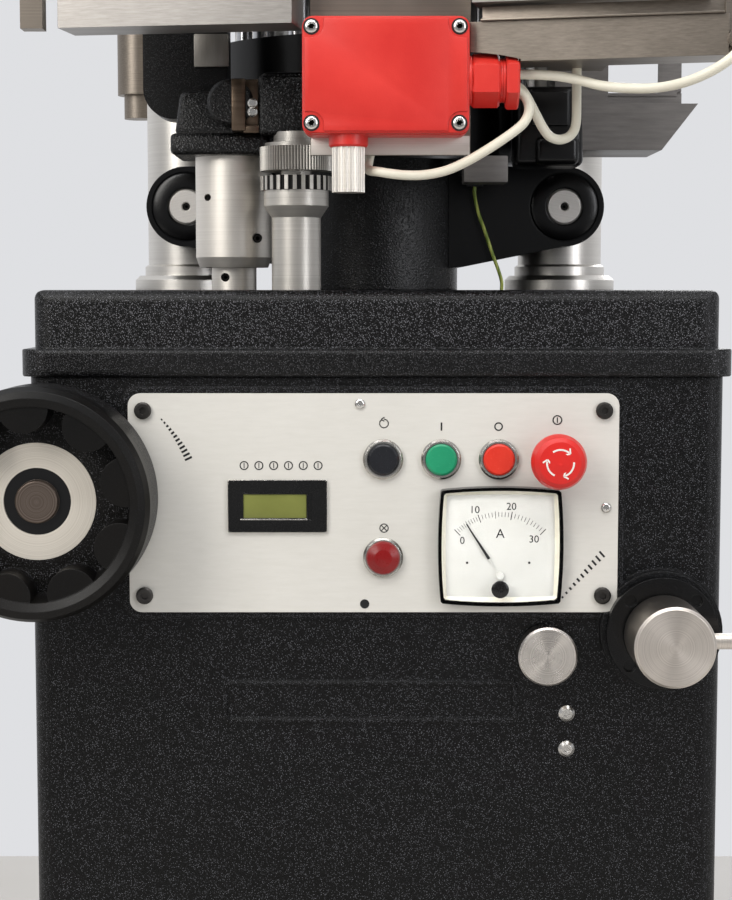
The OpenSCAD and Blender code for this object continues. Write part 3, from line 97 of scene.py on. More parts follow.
# %% Cable builder
def smooth_route(points, steps=6):
    """A round curve through all the points, with some steps between each two of them."""
    p = [Vector(q) * MM for q in points]
    p = [p[0] * 2 - p[1], *p, p[-1] * 2 - p[-2]]
    out = []
    for a, b, c, d in zip(p, p[1:], p[2:], p[3:]):
        for i in range(steps):
            t = i / steps
            out.append(0.5 * (2 * b + (c - a) * t + (2 * a - 5 * b + 4 * c - d) * t * t
                + (3 * b - a - 3 * c + d) * t ** 3))
    out.append(p[-2])
    return out


def cable(name, points, diameter, node):
    line = smooth_route(points)
    curve = bpy.data.curves.new(name, "CURVE")
    curve.dimensions = "3D"
    curve.bevel_depth = 1
    curve.bevel_resolution = 4
    curve.use_fill_caps = True
    spline = curve.splines.new("POLY")
    spline.points.add(len(line) - 1)
    for point, place in zip(spline.points, line):
        point.co = (*place, 1)
        point.radius = diameter / 2
    piece = bpy.data.objects.new(name, curve)
    scene.collection.objects.link(piece)
    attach(piece, "base")
    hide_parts(node)
    return piece

# %% The four cables
CABLE_D = 0.007
cables = [cable(side + "_cable", route, CABLE_D, "cable_" + side)
    for side, route in (("right", right_route), ("left", left_route), ("loop", loop_route))]
earth_lead = cable("earth_lead", earth_route, 0.003, "earth_wire")

# %% [markdown]
# ## Studio
# The machine stands on a pale floor in front of a pale grey ground. Steel only looks like
# steel when it has something bright and something dark to mirror, so the light comes from
# large soft panels and the surroundings are kept dimmer than the ground that the camera sees.

# %% Floor and ground
scene.view_settings.view_transform = "Standard"


def colour(r, g, b):
    """A colour in screen values, as the shader wants it."""
    return tuple((c / 255) ** 2.2 for c in (r, g, b)) + (1,)


def put(tree, kind, inputs=None, **settings):
    """Adds a shader node; an input is either a value or another node's socket."""
    node = tree.nodes.new("ShaderNode" + kind)
    for key, value in settings.items():
        setattr(node, key, value)
    for key, value in (inputs or {}).items():
        if isinstance(value, bpy.types.NodeSocket):
            tree.links.new(value, node.inputs[key])
        else:
            node.inputs[key].default_value = value
    return node

# %% Surroundings
world = bpy.data.worlds.new("studio")
world.use_nodes = True
scene.world = world
air = world.node_tree
air.nodes.clear()
way = put(air, "TexCoord").outputs["Generated"]
back = put(air, "SeparateXYZ", {0: way}).outputs["Y"]
glow = put(air, "MapRange", {"Value": back, "From Min": -0.7, "From Max": 0.5,
    "To Min": 0.34, "To Max": 0.95})
seen = put(air, "Background", {"Color": colour(222, 223, 226), "Strength": 1.0})
lit = put(air, "Background", {"Color": colour(232, 233, 236),
    "Strength": glow.outputs[0]})
path = put(air, "LightPath")
both = put(air, "MixShader", {0: path.outputs["Is Camera Ray"], 1: lit.outputs[0],
    2: seen.outputs[0]})
put(air, "OutputWorld", {"Surface": both.outputs[0]})
print("surroundings:", len(air.nodes), "nodes")

# %% Soft lights
def softbox(name, place, aim, size, power, tint=(255, 255, 255)):
    data = bpy.data.lights.new(name, "AREA")
    data.shape = "RECTANGLE"
    data.size, data.size_y = size
    data.energy = power
    data.color = colour(*tint)[:3]
    light = bpy.data.objects.new(name, data)
    light.location = place
    light.rotation_euler = (Vector(aim) - Vector(place)).to_track_quat("-Z", "Y").to_euler()
    scene.collection.objects.link(light)
    print(name, power, "W")


softbox("key_panel", (-1.5, -1.9, 1.9), (0, -0.2, 0.75), (1.0, 1.5), 34, (255, 252, 247))
softbox("fill_panel", (1.7, -1.8, 1.4), (0, -0.2, 0.75), (0.6, 1.7), 17, (250, 251, 255))
softbox("top_panel", (0, -0.5, 2.6), (0, -0.1, 0.8), (2.0, 1.0), 18)
softbox("edge_strip", (0, -1.55, 2.5), (0, -0.3, 0.7), (2.6, 0.22), 20)
softbox("rear_panel", (0.8, 2.0, 2.0), (0, 0, 0.9), (1.2, 1.2), 20)

# %% [markdown]
# ## Mesh helpers
# Every new piece starts as a bmesh. Two shapes come back again and again on a machine: a
# turned form, which is an outline spun round an axis, and a plate with round corners, which
# is a box whose upright edges are bevelled. A screw's head is a stack of rings that are
# bridged, so that its recess can have any number of sides. A finished piece is linked, given
# its body and its material, and its faces are shaded smooth except across sharp edges.

# %% Piece helpers
def at(x, y, z):
    """Moves the origin to a place in mm."""
    return Matrix.Translation(Vector((x, y, z)) * MM)


def front(x, y, z):
    """The same, with +Z turned to face the front of the machine."""
    return at(x, y, z) @ Matrix.Rotation(math.radians(90), 4, "X")


def turned_by(degrees, axis="Y"):
    return Matrix.Rotation(math.radians(degrees), 4, axis)


TINY = 1e-7  # metres, for telling whether two heights are the same


def edges_of(verts):
    return list({e for v in verts for e in v.link_edges})


def edges_at(verts, level):
    """The edges that lie wholly at one height above the origin, in mm."""
    return [e for e in edges_of(verts)
        if all(abs(v.co.z - level * MM) < TINY for v in e.verts)]


def upright(edge):
    return abs(edge.verts[0].co.z - edge.verts[1].co.z) > TINY


def bevel(bm, edges, offset, segments):
    bmesh.ops.bevel(bm, geom=edges, offset=offset * MM, affect="EDGES", segments=segments,
        profile=0.5, material=-1)

# %% Finished pieces
def finished(name, bm, look, body="base", soft=35):
    """Makes the object, with one of the finishes below, and puts it on its body."""
    bmesh.ops.remove_doubles(bm, verts=bm.verts, dist=1e-6)
    bmesh.ops.recalc_face_normals(bm, faces=bm.faces)
    mesh = bpy.data.meshes.new(name)
    bm.to_mesh(mesh)
    bm.free()
    mesh.polygons.foreach_set("use_smooth", [True] * len(mesh.polygons))
    mesh.set_sharp_from_angle(angle=math.radians(soft))
    mesh.materials.append(finish[look])
    piece = bpy.data.objects.new(name, mesh)
    scene.collection.objects.link(piece)
    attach(piece, body)
    print(name, "on", body + ",", len(mesh.polygons), "faces")
    return piece

# %% Turned forms, blocks and plates
def lathe(bm, outline, where, steps=48):
    """Spins an outline of (radius, height) in mm round Z and puts it where the matrix says."""
    before = set(bm.verts)
    verts = [bm.verts.new((r * MM, 0, h * MM)) for r, h in outline]
    edges = [bm.edges.new(pair) for pair in zip(verts, verts[1:])]
    bmesh.ops.spin(bm, geom=verts + edges, axis=(0, 0, 1), cent=(0, 0, 0),
        angle=2 * math.pi, steps=steps, use_merge=True, use_duplicate=False)
    bmesh.ops.remove_doubles(bm, verts=added(bm, before), dist=1e-6)
    bmesh.ops.transform(bm, matrix=where, verts=added(bm, before))


def added(bm, before):
    return [v for v in bm.verts if v not in before]


def block(bm, size, where, round_by=0.0):
    """A box of size in mm about the matrix's origin, with its edges rounded."""
    made = bmesh.ops.create_cube(bm, size=1, matrix=where @ Matrix.Diagonal(
        (*(s * MM for s in size), 1)))
    if round_by:
        bevel(bm, edges_of(made["verts"]), round_by, 2)


def round_plate(bm, w, h, t, r, where, edge=0.0):
    """A plate w by h with round corners, t thick, its back at the matrix's origin."""
    before = set(bm.verts)
    verts = bmesh.ops.create_cube(bm, size=1, matrix=at(0, 0, t / 2)
        @ Matrix.Diagonal((w * MM, h * MM, t * MM, 1)))["verts"]
    bevel(bm, [e for e in edges_of(verts) if upright(e)], r, 5)
    if edge:
        bevel(bm, edges_at(added(bm, before), t), edge, 3)
    bmesh.ops.transform(bm, matrix=where, verts=added(bm, before))

# %% Screw heads
def socket_head(bm, radius, height, where, socket=0.0, sides=6, depth=1.5, dome=0.0,
        star=1.0):
    """A screw's head with a recess of that many sides, its seat at the matrix's origin."""
    def ring(r, z, n, waist=1.0):
        made = bmesh.ops.create_circle(bm, segments=n, radius=r * MM,
            matrix=at(0, 0, z))
        bmesh.ops.scale(bm, vec=(waist, waist, 1), verts=made["verts"][::2])
        return edges_of(made["verts"]), made["verts"]

    soft = min(0.18 * radius, 0.4 * height)
    rings = [ring(radius, 0, 24), ring(radius, height - soft, 24),
        ring(radius - soft, height, 24)]
    if dome:
        rings.append(ring(radius * 0.62, height + dome, 24))
    if socket:
        rings += [ring(socket, height + dome, sides, star),
            ring(socket, height + dome - depth, sides, star)]
    for (lower, _), (upper, _) in zip(rings, rings[1:]):
        bmesh.ops.bridge_loops(bm, edges=lower + upper)
    for closing in (rings[0][0], rings[-1][0]):
        bmesh.ops.contextual_create(bm, geom=closing)
    verts = [v for _, ring_verts in rings for v in ring_verts]
    bmesh.ops.transform(bm, matrix=where, verts=verts)

# %% Plate with scooped corners
def notched_plate(bm, w, h, t, notch, scoop, where, edge):
    """A plate with a scooped-out corner round each of four screws, its back at the origin."""
    before = set(bm.verts)
    a, b = w / 2, h / 2
    outline = []
    for sx, sy in ((1, 1), (-1, 1), (-1, -1), (1, -1)):
        corner = [(a, b - notch), (a - notch, b - notch), (a - notch, b)]
        corner = corner if sx == sy else corner[::-1]
        outline += [bm.verts.new((sx * x * MM, sy * y * MM, 0)) for x, y in corner]
    face = bm.faces.new(outline)
    top = bmesh.ops.extrude_face_region(bm, geom=[face])["geom"]
    bmesh.ops.translate(bm, vec=(0, 0, t * MM),
        verts=[v for v in top if isinstance(v, bmesh.types.BMVert)])
    inner = [e for e in edges_of(added(bm, before)) if upright(e)
        and abs(e.verts[0].co.x) < (a - notch / 2) * MM
        and abs(e.verts[0].co.y) < (b - notch / 2) * MM]
    bevel(bm, inner, scoop, 8)
    bevel(bm, edges_at(added(bm, before), t), edge, 2)
    bmesh.ops.transform(bm, matrix=where, verts=added(bm, before))


# %% [markdown]
# ## The floor
# The floor is one wide slab, half a millimetre below the machine's foot so that the two never
# share a face.

# %% Floor slab
bm = bmesh.new()
block(bm, (5200, 3400, 20), at(0, -860, -10.5))
floor_mesh = bpy.data.meshes.new("floor")
bm.to_mesh(floor_mesh)
bm.free()
floor = bpy.data.objects.new("floor", floor_mesh)
scene.collection.objects.link(floor)
print("floor", [round(side, 2) for side in floor.dimensions])

# %% [markdown]
# ## Shared surface effects
# Four effects come back on many finishes, so each is a node group that gives heights and
# masks. Cast enamel has small round bumps, and a mask picks some of their tops for a pale
# glint that is painted into the colour. Brushed sheet has long fine scratches one way. Turned
# steel has rings round an axis. And every surface that is used has broad, soft patches where
# hands, oil and wiping have changed it.

# %% Effect groups
def effect(name, outputs, **numbers):
    """A new node group that takes coordinates and some numbers, with its sockets by name."""
    tree = bpy.data.node_groups.new(name, "ShaderNodeTree")
    tree.interface.new_socket("Vector", in_out="INPUT", socket_type="NodeSocketVector")
    for title, value in numbers.items():
        made = tree.interface.new_socket(title, in_out="INPUT", socket_type="NodeSocketFloat")
        made.default_value = value
    for title in outputs:
        tree.interface.new_socket(title, in_out="OUTPUT", socket_type="NodeSocketFloat")
    print("effect", name, "gives", outputs)
    return (tree, tree.nodes.new("NodeGroupInput").outputs,
        tree.nodes.new("NodeGroupOutput").inputs)


def sums(tree, operation, a, b):
    return put(tree, "Math", {0: a, 1: b}, operation=operation).outputs[0]


def spread(tree, value, low, high, to_low, to_high):
    return put(tree, "MapRange", {"Value": value, "From Min": low, "From Max": high,
        "To Min": to_low, "To Max": to_high}).outputs[0]

# %% Enamel skin
enamel_skin, given, wanted = effect("cast_enamel_skin", ["Height", "Glint"], Cells=400)
cells = put(enamel_skin, "TexVoronoi", {"Vector": given["Vector"],
    "Scale": given["Cells"], "Randomness": 1.0})
bumps = spread(enamel_skin, cells.outputs["Distance"], 0.1, 0.6, 1.0, 0.0)
some = spread(enamel_skin, cells.outputs["Color"], 0.3, 0.85, 0.0, 1.0)
fine = put(enamel_skin, "TexNoise", {"Vector": given["Vector"],
    "Scale": sums(enamel_skin, "MULTIPLY", given["Cells"], 1.9), "Detail": 3,
    "Roughness": 0.6})
height = sums(enamel_skin, "ADD", sums(enamel_skin, "MULTIPLY", bumps, 0.6),
    sums(enamel_skin, "MULTIPLY", fine.outputs["Fac"], 0.6))
# The glint mask: where a pale highlight is painted into the colour, and where the paint is
# glossier.
glint = sums(enamel_skin, "MULTIPLY", some,
    spread(enamel_skin, cells.outputs["Distance"], 0.16, 0.4, 1.0, 0.0))
enamel_skin.links.new(height, wanted["Height"])
enamel_skin.links.new(glint, wanted["Glint"])

# %% Grain, rings and patches
brushed_grain, given, wanted = effect("brushed_grain", ["Height", "Tone"])
scratches = put(brushed_grain, "TexNoise", {"Vector": given["Vector"],
    "Scale": 1, "Detail": 5, "Roughness": 0.65})
brushed_grain.links.new(scratches.outputs["Fac"], wanted["Height"])
brushed_grain.links.new(spread(brushed_grain, scratches.outputs["Fac"], 0.3, 0.7, 0.0, 1.0),
    wanted["Tone"])

lathe_rings, given, wanted = effect("lathe_rings", ["Height", "Tone"], Rings=900)
reach = put(lathe_rings, "VectorMath", {0: given["Vector"]},
    operation="LENGTH")
rings = put(lathe_rings, "TexNoise", {"W": reach.outputs["Value"],
    "Scale": given["Rings"], "Detail": 3, "Roughness": 0.7}, noise_dimensions="1D")
lathe_rings.links.new(rings.outputs["Fac"], wanted["Height"])
lathe_rings.links.new(spread(lathe_rings, rings.outputs["Fac"], 0.3, 0.7, 0.0, 1.0),
    wanted["Tone"])

handling, given, wanted = effect("handling_patches", ["Patch"], Scale=12)
patches = put(handling, "TexNoise", {"Vector": given["Vector"],
    "Scale": given["Scale"], "Detail": 4, "Roughness": 0.55})
handling.links.new(spread(handling, patches.outputs["Fac"], 0.32, 0.68, 0.0, 1.0),
    wanted["Patch"])

# %% [markdown]
# ## Finishes
# Each maker below builds one family of finish. The Principled shader and its constant values
# stay in the material, and the groups only drive what changes over the surface: colour
# between two close tones, roughness between two values, and a small bump.

# %% Groups, blank material and colours
def use_group(tree, group, **inputs):
    return put(tree, "Group", inputs, node_tree=group).outputs


def patches_on(tree, where, scale):
    return use_group(tree, handling, Vector=where, Scale=scale)["Patch"]


def blank(name, **constants):
    material = bpy.data.materials.new(name)
    material.use_nodes = True
    tree = material.node_tree
    shader = tree.nodes["Principled BSDF"]
    for key, value in constants.items():
        shader.inputs[key.replace("_", " ")].default_value = value
    where = put(tree, "TexCoord").outputs["Object"]
    print("finish", name)
    return material, tree, shader, where


def between(tree, factor, dark, light):
    """A colour between two others, each of which is a screen colour or a node's socket."""
    mix = put(tree, "Mix", {"Factor": factor}, data_type="RGBA")
    for value, socket in ((dark, mix.inputs[6]), (light, mix.inputs[7])):
        if isinstance(value, bpy.types.NodeSocket):
            tree.links.new(value, socket)
        else:
            socket.default_value = colour(*value)
    return mix.outputs[2]


def drive(tree, shader, **sockets):
    for key, value in sockets.items():
        tree.links.new(value, shader.inputs[key.replace("_", " ")])

# %% Bumps, distances and masks
def bumped(tree, shader, height, distance, edge=0.5):
    """Rounds the edges by that many mm for the light alone, and puts the bump on top."""
    rounded = put(tree, "Bevel", {"Radius": edge * MM}, samples=4)
    bump = put(tree, "Bump", {"Strength": 1.0, "Distance": distance,
        "Height": height, "Normal": rounded.outputs[0]})
    tree.links.new(bump.outputs["Normal"], shader.inputs["Normal"])


def moved(tree, where, centre=(0, 0, 0), scale=(1, 1, 1)):
    """Coordinates measured from a centre in mm and stretched along each axis."""
    shift = put(tree, "VectorMath", {0: where, 1: tuple(c * MM for c in centre)},
        operation="SUBTRACT")
    return put(tree, "Mapping", {"Vector": shift.outputs[0], "Scale": scale},
        vector_type="POINT").outputs[0]


def reach_from(tree, where, centre, keep):
    """The distance in metres from an axis, of which keep leaves out the direction."""
    return put(tree, "VectorMath", {0: moved(tree, where, centre, keep)},
        operation="LENGTH").outputs["Value"]


def outside(tree, value, edge, soft=0.15):
    """0 below an edge in mm and 1 above it."""
    return spread(tree, value, (edge - soft) * MM, (edge + soft) * MM, 0.0, 1.0)

# %% [markdown]
# ## Enamel
# The castings are sprayed with a thick paint that draws up into small round bumps. A photo of
# such paint could be laid on them, but a cell pattern needs no file, has no seams and can be
# made finer or coarser for each casting.

# %% Enamel
def enamel(name, dark, light, painted_glint, rough=(0.34, 0.24), cells=900, depth=0.00016, edge=1.5,
        speckle=None, shine=0.5):
    """Glossy paint on a cast skin, with a pale glint painted into the colour on the tops of some
    of its cells. Speckle makes a mask of where the skin is rough."""
    material, tree, shader, where = blank(name, Specular_IOR_Level=shine)
    skin = use_group(tree, enamel_skin, Vector=where, Cells=cells)
    patch = patches_on(tree, where, 9)
    glint, height = skin["Glint"], skin["Height"]
    if speckle:
        mask = speckle(tree, where)
        glint, height = (sums(tree, "MULTIPLY", part, mask) for part in (glint, height))
    base = between(tree, patch, dark, light)
    # Painted highlight: a pale glint colour is mixed into the base colour wherever the glint mask
    # is set.
    drive(tree, shader, Base_Color=between(tree, glint, base, painted_glint),
        Roughness=spread(tree, glint, 0, 1, *rough))
    bumped(tree, shader, height, depth, edge)
    return material

# %% [markdown]
# ## Brushed metal
# Sheet, bar and columns keep the fine scratches of their last grinding. A noise that is
# stretched along the grain gives them all at once, and the same maker then serves rings
# round a column, which are a grain that runs level.

# %% Brushed metal
FINE = 0.00002  # metres, the depth of a fine scratch or ring


def brushed(name, dark, light, rough=(0.3, 0.42), stretch=(4, 500, 900), depth=FINE,
        metal=1.0, edge=0.5, groove_shade=None):
    """Metal with long scratches one way, and with shade painted dark into the colour where a
    groove mask is given.
    """
    material, tree, shader, where = blank(name, Metallic=metal)
    grain = use_group(tree, brushed_grain, Vector=moved(tree, where, scale=stretch))
    patch = patches_on(tree, where, 9)
    tone = sums(tree, "ADD", sums(tree, "MULTIPLY", grain["Tone"], 0.6),
        sums(tree, "MULTIPLY", patch, 0.4))
    base = between(tree, tone, dark, light)
    # Painted shade: where a groove mask is given, the colour goes dark in the grooves.
    if groove_shade:
        base = between(tree, groove_shade(tree, where), base, (28, 27, 26))
    drive(tree, shader, Base_Color=base, Roughness=spread(tree, patch, 0, 1, *rough))
    bumped(tree, shader, grain["Height"], depth, edge)
    return material

# %% [markdown]
# ## Turned metal
# A face from the lathe carries rings, and a lamp shows on it as two bright wedges. Rings in
# the colour alone wouldn't do that, so the shader's tangent runs round the axis as well.

# %% Turned metal
FACE = (1, 0, 1)  # keeps X and Z, so distances are measured across a face that looks along Y


def turned(name, dark, light, rough=(0.24, 0.36), centre=(0, 0, 0), rings=1200, metal=1.0,
        swirl=0.0):
    """Rings round a centre, for a face that looks along Y. With swirl, the light fans out
    over the rings as it does on a turned face."""
    material, tree, shader, where = blank(name, Metallic=metal, Anisotropic=swirl)
    ring = use_group(tree, lathe_rings, Vector=moved(tree, where, centre, FACE), Rings=rings)
    patch = patches_on(tree, where, 30)
    drive(tree, shader, Base_Color=between(tree, ring["Tone"], dark, light),
        Roughness=spread(tree, patch, 0, 1, *rough))
    bumped(tree, shader, ring["Height"], FINE)
    if swirl:
        round_it = put(tree, "VectorMath", {0: (0, 1, 0), 1: moved(tree, where, centre)},
            operation="CROSS_PRODUCT").outputs[0]
        drive(tree, shader, Tangent=put(tree, "VectorMath", {0: round_it},
            operation="NORMALIZE").outputs[0])
    return material

# %% [markdown]
# ## Plastic
# Caps, cables and cases are moulded, with an even colour and a skin like orange peel. Ink,
# rubber and small bright screws are as plain, so they come from this maker too.

# %% Plastic
def moulded(name, dark, light, rough=(0.2, 0.28), depth=FINE, **constants):
    """Plastic: two close tones in soft patches and a fine orange-peel skin."""
    material, tree, shader, where = blank(name, **constants)
    patch = patches_on(tree, where, 25)
    peel = patches_on(tree, where, 900)
    drive(tree, shader, Base_Color=between(tree, patch, dark, light),
        Roughness=spread(tree, peel, 0, 1, *rough))
    bumped(tree, shader, peel, depth, edge=0.4)
    return material

# %% [markdown]
# ## The finishes of this machine
# The castings are near-black enamel with a rough skin that sparkles where the light catches
# it, and its sparkle is also painted in as pale glints in the colour. Guards are brushed sheet
# with the grain along the sheet, columns and posts are turned and carry level rings, and the
# knobs' faces have rings round their own axes.

# %% Masks for the wheel and the adjuster
ADJUSTER = (-62.5, -195, 0)


def wheel_web(tree, where):
    """Where the wheel's face lies low between its thumb pads, and the paint stays rough."""
    deep = put(tree, "SeparateXYZ", {0: where}).outputs["Y"]
    return spread(tree, deep, -0.350, -0.346, 0.08, 1.0)


def adjuster_groove_shade(tree, where):
    """The gaps between the teeth of the two rings, where shade is painted in dark."""
    reach = reach_from(tree, where, ADJUSTER, (1, 1, 0))
    up = put(tree, "SeparateXYZ", {0: where}).outputs["Z"]
    low = sums(tree, "SUBTRACT", 1.0, outside(tree, reach, 27.35, 0.25))
    tube = outside(tree, reach, 25.4)
    rings = sums(tree, "MULTIPLY", outside(tree, up, 856.6),
        sums(tree, "SUBTRACT", 1.0, outside(tree, up, 890.8)))
    return sums(tree, "MULTIPLY", sums(tree, "MULTIPLY", low, tube), rings)

# %% Enamelled castings
BLACK, SOOT = (5, 5, 6), (11, 11, 12)
# The third colour of each enamel is its painted highlight, the pale glint mixed into the colour.
finish = {
    "casting": enamel("casting_enamel", BLACK, SOOT, (104, 105, 110), cells=1080,
        depth=0.00022, edge=3, shine=0.24),
    "lid": enamel("lid_enamel", BLACK, SOOT, (120, 120, 125), rough=(0.33, 0.22), cells=940,
        depth=0.00026, edge=3, shine=0.31),
    "rough_casting": enamel("rough_casting_enamel", BLACK, SOOT, (96, 97, 100),
        rough=(0.28, 0.16), cells=560, depth=0.0004, edge=2, shine=0.45),
    "wheel": enamel("wheel_enamel", (12, 12, 12), (23, 21, 19), (120, 120, 124), rough=(0.4, 0.3),
        cells=950, depth=0.0003, edge=1.2, speckle=wheel_web, shine=0.22),
    "smooth_black": enamel("smooth_black_enamel", BLACK, SOOT, (30, 30, 32), rough=(0.26, 0.2),
        cells=700, depth=0.00003, edge=1, shine=0.36),
    "machine_green": enamel("machine_green_enamel", (62, 78, 72), (80, 96, 90), (110, 124, 118),
        rough=(0.5, 0.4), cells=500, depth=0.0001),
}

# %% Steel, iron and bronze
UP_RINGS = dict(stretch=(3, 3, 1300))
finish |= {
    "column": brushed("turned_column_steel", (206, 202, 196), (228, 225, 219), rough=(0.34, 0.44),
        depth=0.000008, **UP_RINGS),
    "sleeve": brushed("satin_sleeve_steel", (222, 216, 207), (243, 238, 230), rough=(0.4, 0.5),
        depth=0.000008, **UP_RINGS),
    "adjuster": brushed("adjuster_steel", (184, 180, 173), (216, 212, 205), rough=(0.36, 0.46),
        depth=0.000008, groove_shade=adjuster_groove_shade, edge=0.25, metal=0.7, **UP_RINGS),
    "tool": brushed("polished_tool_steel", (178, 178, 180), (216, 216, 218), rough=(0.14, 0.26),
        **UP_RINGS),
    "turret": brushed("turret_steel", (140, 139, 136), (180, 179, 176), rough=(0.26, 0.4),
        **UP_RINGS),
    "dark_iron": enamel("oiled_iron", (22, 22, 23), (34, 34, 36), (58, 58, 60), rough=(0.4, 0.28),
        cells=600, depth=0.0001),
    "pulley": brushed("pulley_iron", (96, 96, 98), (126, 126, 128), rough=(0.35, 0.5),
        stretch=(1300, 3, 3)),
    "bronze": brushed("cast_bronze", (138, 106, 54), (178, 144, 84), rough=(0.28, 0.42),
        stretch=(60, 60, 500)),
    "sheet": brushed("brushed_guard_sheet", (138, 134, 130), (170, 166, 162), rough=(0.34, 0.46)),
    "backing": brushed("backing_sheet", (206, 200, 192), (226, 221, 214), rough=(0.4, 0.5),
        metal=0.55),
    # The bar is darker than the guard sheet: its steel tone carries painted shade as well.
    "bar": brushed("shaded_bar_steel", (118, 110, 101), (152, 143, 133), rough=(0.36, 0.5)),
    "spun_steel": brushed("spun_hopper_steel", (172, 171, 168), (208, 207, 204),
        rough=(0.2, 0.32), **UP_RINGS),
    "chute": brushed("grey_chute_steel", (102, 99, 97), (134, 130, 127), rough=(0.4, 0.55),
        stretch=(30, 200, 300), metal=0.6),
    "panel": brushed("pale_panel_plate", (210, 207, 199), (219, 216, 209), rough=(0.4, 0.5),
        stretch=(60, 400, 400), metal=0.1, depth=0.000006),
}

# %% Plastics, rubber and inks
finish |= {
    "black_plastic": moulded("black_moulding", (12, 12, 12), (20, 20, 20), rough=(0.2, 0.3)),
    "belt": moulded("belt_rubber", (14, 14, 14), (26, 26, 26), rough=(0.6, 0.8)),
    "reset": moulded("black_cap", (27, 28, 31), (36, 37, 41)),
    "start": moulded("green_cap", (28, 130, 92), (42, 148, 106)),
    "stop": moulded("red_cap", (210, 50, 36), (220, 62, 46)),
    "mushroom": moulded("red_mushroom", (202, 34, 30), (212, 44, 38), rough=(0.3, 0.38)),
    "lamp": moulded("dark_red_lens", (118, 6, 10), (140, 12, 16), rough=(0.26, 0.34)),
    "switch": moulded("red_switch_case", (196, 42, 36), (208, 54, 46), rough=(0.34, 0.44),
        depth=0.00003),
    "cream": moulded("cream_sheath", (216, 211, 192), (226, 221, 205), rough=(0.38, 0.5)),
    "ink": moulded("black_ink", (16, 16, 17), (26, 26, 27), rough=(0.4, 0.5)),
    "white_ink": moulded("white_ink", (232, 226, 218), (244, 240, 234), rough=(0.4, 0.5)),
    "dial": moulded("dial_card", (198, 198, 192), (206, 206, 201), rough=(0.5, 0.6)),
    "dial_frame": moulded("dial_frame_cream", (206, 202, 184), (222, 218, 202),
        rough=(0.25, 0.35)),
    "display": moulded("display_glass", (104, 108, 54), (121, 125, 66), rough=(0.18, 0.25)),
}

# %% Turned faces and small parts
finish |= {
    "bezel": turned("bezel_metal", (176, 173, 167), (212, 209, 203), rough=(0.18, 0.28),
        rings=2500),
    "pin": turned("pin_steel", (222, 217, 211), (238, 234, 228), rough=(0.38, 0.48), metal=0.65),
    "pressure_knob": turned("pressure_knob_steel", (202, 193, 184), (228, 220, 211),
        centre=(209, 0, 530), swirl=0.7, rough=(0.34, 0.42)),
    "small_knob": turned("small_knob_steel", (204, 197, 189), (234, 228, 221),
        centre=(125, 0, 513), swirl=0.96, rough=(0.24, 0.3)),
    "brass": moulded("brass", (196, 168, 92), (218, 192, 120), rough=(0.2, 0.3), Metallic=1.0),
    "screw": moulded("screw_steel", (196, 193, 188), (226, 224, 220), rough=(0.18, 0.28),
        Metallic=1.0),
    "bolt": moulded("black_oxide_bolt", (62, 60, 58), (84, 82, 80), rough=(0.28, 0.38),
        Metallic=0.85),
    "set_screw": moulded("black_set_screw", (40, 39, 38), (58, 56, 54), rough=(0.26, 0.36),
        Metallic=0.7),
    "tough_steel": brushed("bracket_steel", (128, 124, 118), (158, 154, 148), rough=(0.36, 0.48),
        stretch=(200, 30, 30)),
    "tea_steel": brushed("brown_block_steel", (84, 72, 60), (128, 112, 98),
        stretch=(20, 20, 300)),
}
print("finishes:", len(finish))

# %% [markdown]
# ## Clear cover and earth wire
# The meter's cover is thin clear plastic, so it lets light through and keeps a sharp gloss.
# The earth wire's two colours run along it as stripes. A wave across X makes them, because
# the wire hangs nearly upright.

# %% Special finishes
clear, tree, shader, where = blank("clear_cover", Transmission_Weight=1.0, IOR=1.15,
    Base_Color=(0.99, 0.99, 0.99, 1))
smear = patches_on(tree, where, 60)
drive(tree, shader, Roughness=spread(tree, smear, 0, 1, 0.02, 0.05))
shade = put(tree, "LightPath").outputs["Is Shadow Ray"]
lets_light = put(tree, "MixShader", {0: shade, 1: shader.outputs[0],
    2: put(tree, "BsdfTransparent").outputs[0]})
tree.links.new(lets_light.outputs[0], tree.nodes["Material Output"].inputs["Surface"])
clear.surface_render_method = "DITHERED"
finish["clear"] = clear

# %% Earth wire
striped, tree, shader, where = blank("earth_sheath", Roughness=0.45)
wave = put(tree, "TexWave", {"Vector": moved(tree, where, (85, 0, 0), (1, 1, 0.3)),
    "Scale": 60, "Distortion": 0.4})
stripe = spread(tree, wave.outputs["Fac"], 0.4, 0.6, 0, 1)
drive(tree, shader, Base_Color=between(tree, stripe, (120, 140, 52), (178, 188, 92)))
finish["earth"] = striped

# %% [markdown]
# ## Wheel hub and floor
# The hub is a brown boss in a black recess in a pale satin disc. It is one turned piece in
# the solid model, so the three colours are parted by the distance from the axis and not by
# more pieces. The floor only has to be pale and calm.

# %% Wheel hub
WHEEL = (-242, 0, 630)
hub_steel, tree, shader, where = blank("wheel_hub_steel")
reach = reach_from(tree, where, WHEEL, FACE)
ring = use_group(tree, lathe_rings, Vector=moved(tree, where, WHEEL, FACE), Rings=1100)
pale = between(tree, ring["Tone"], (214, 206, 193), (230, 223, 211))
boss = between(tree, ring["Tone"], (104, 92, 83), (146, 132, 122))
past_boss = outside(tree, reach, 15.6)
past_recess = outside(tree, reach, 24.0)
inner = between(tree, past_boss, boss, (16, 16, 17))
drive(tree, shader, Base_Color=between(tree, past_recess, inner, pale),
    Roughness=spread(tree, past_recess, 0, 1, 0.28, 0.45),
    Metallic=sums(tree, "ADD", spread(tree, past_boss, 0, 1, 0.9, 0.0),
        spread(tree, past_recess, 0, 1, 0.0, 0.45)))
bumped(tree, shader, ring["Height"], FINE)
finish["hub"] = hub_steel

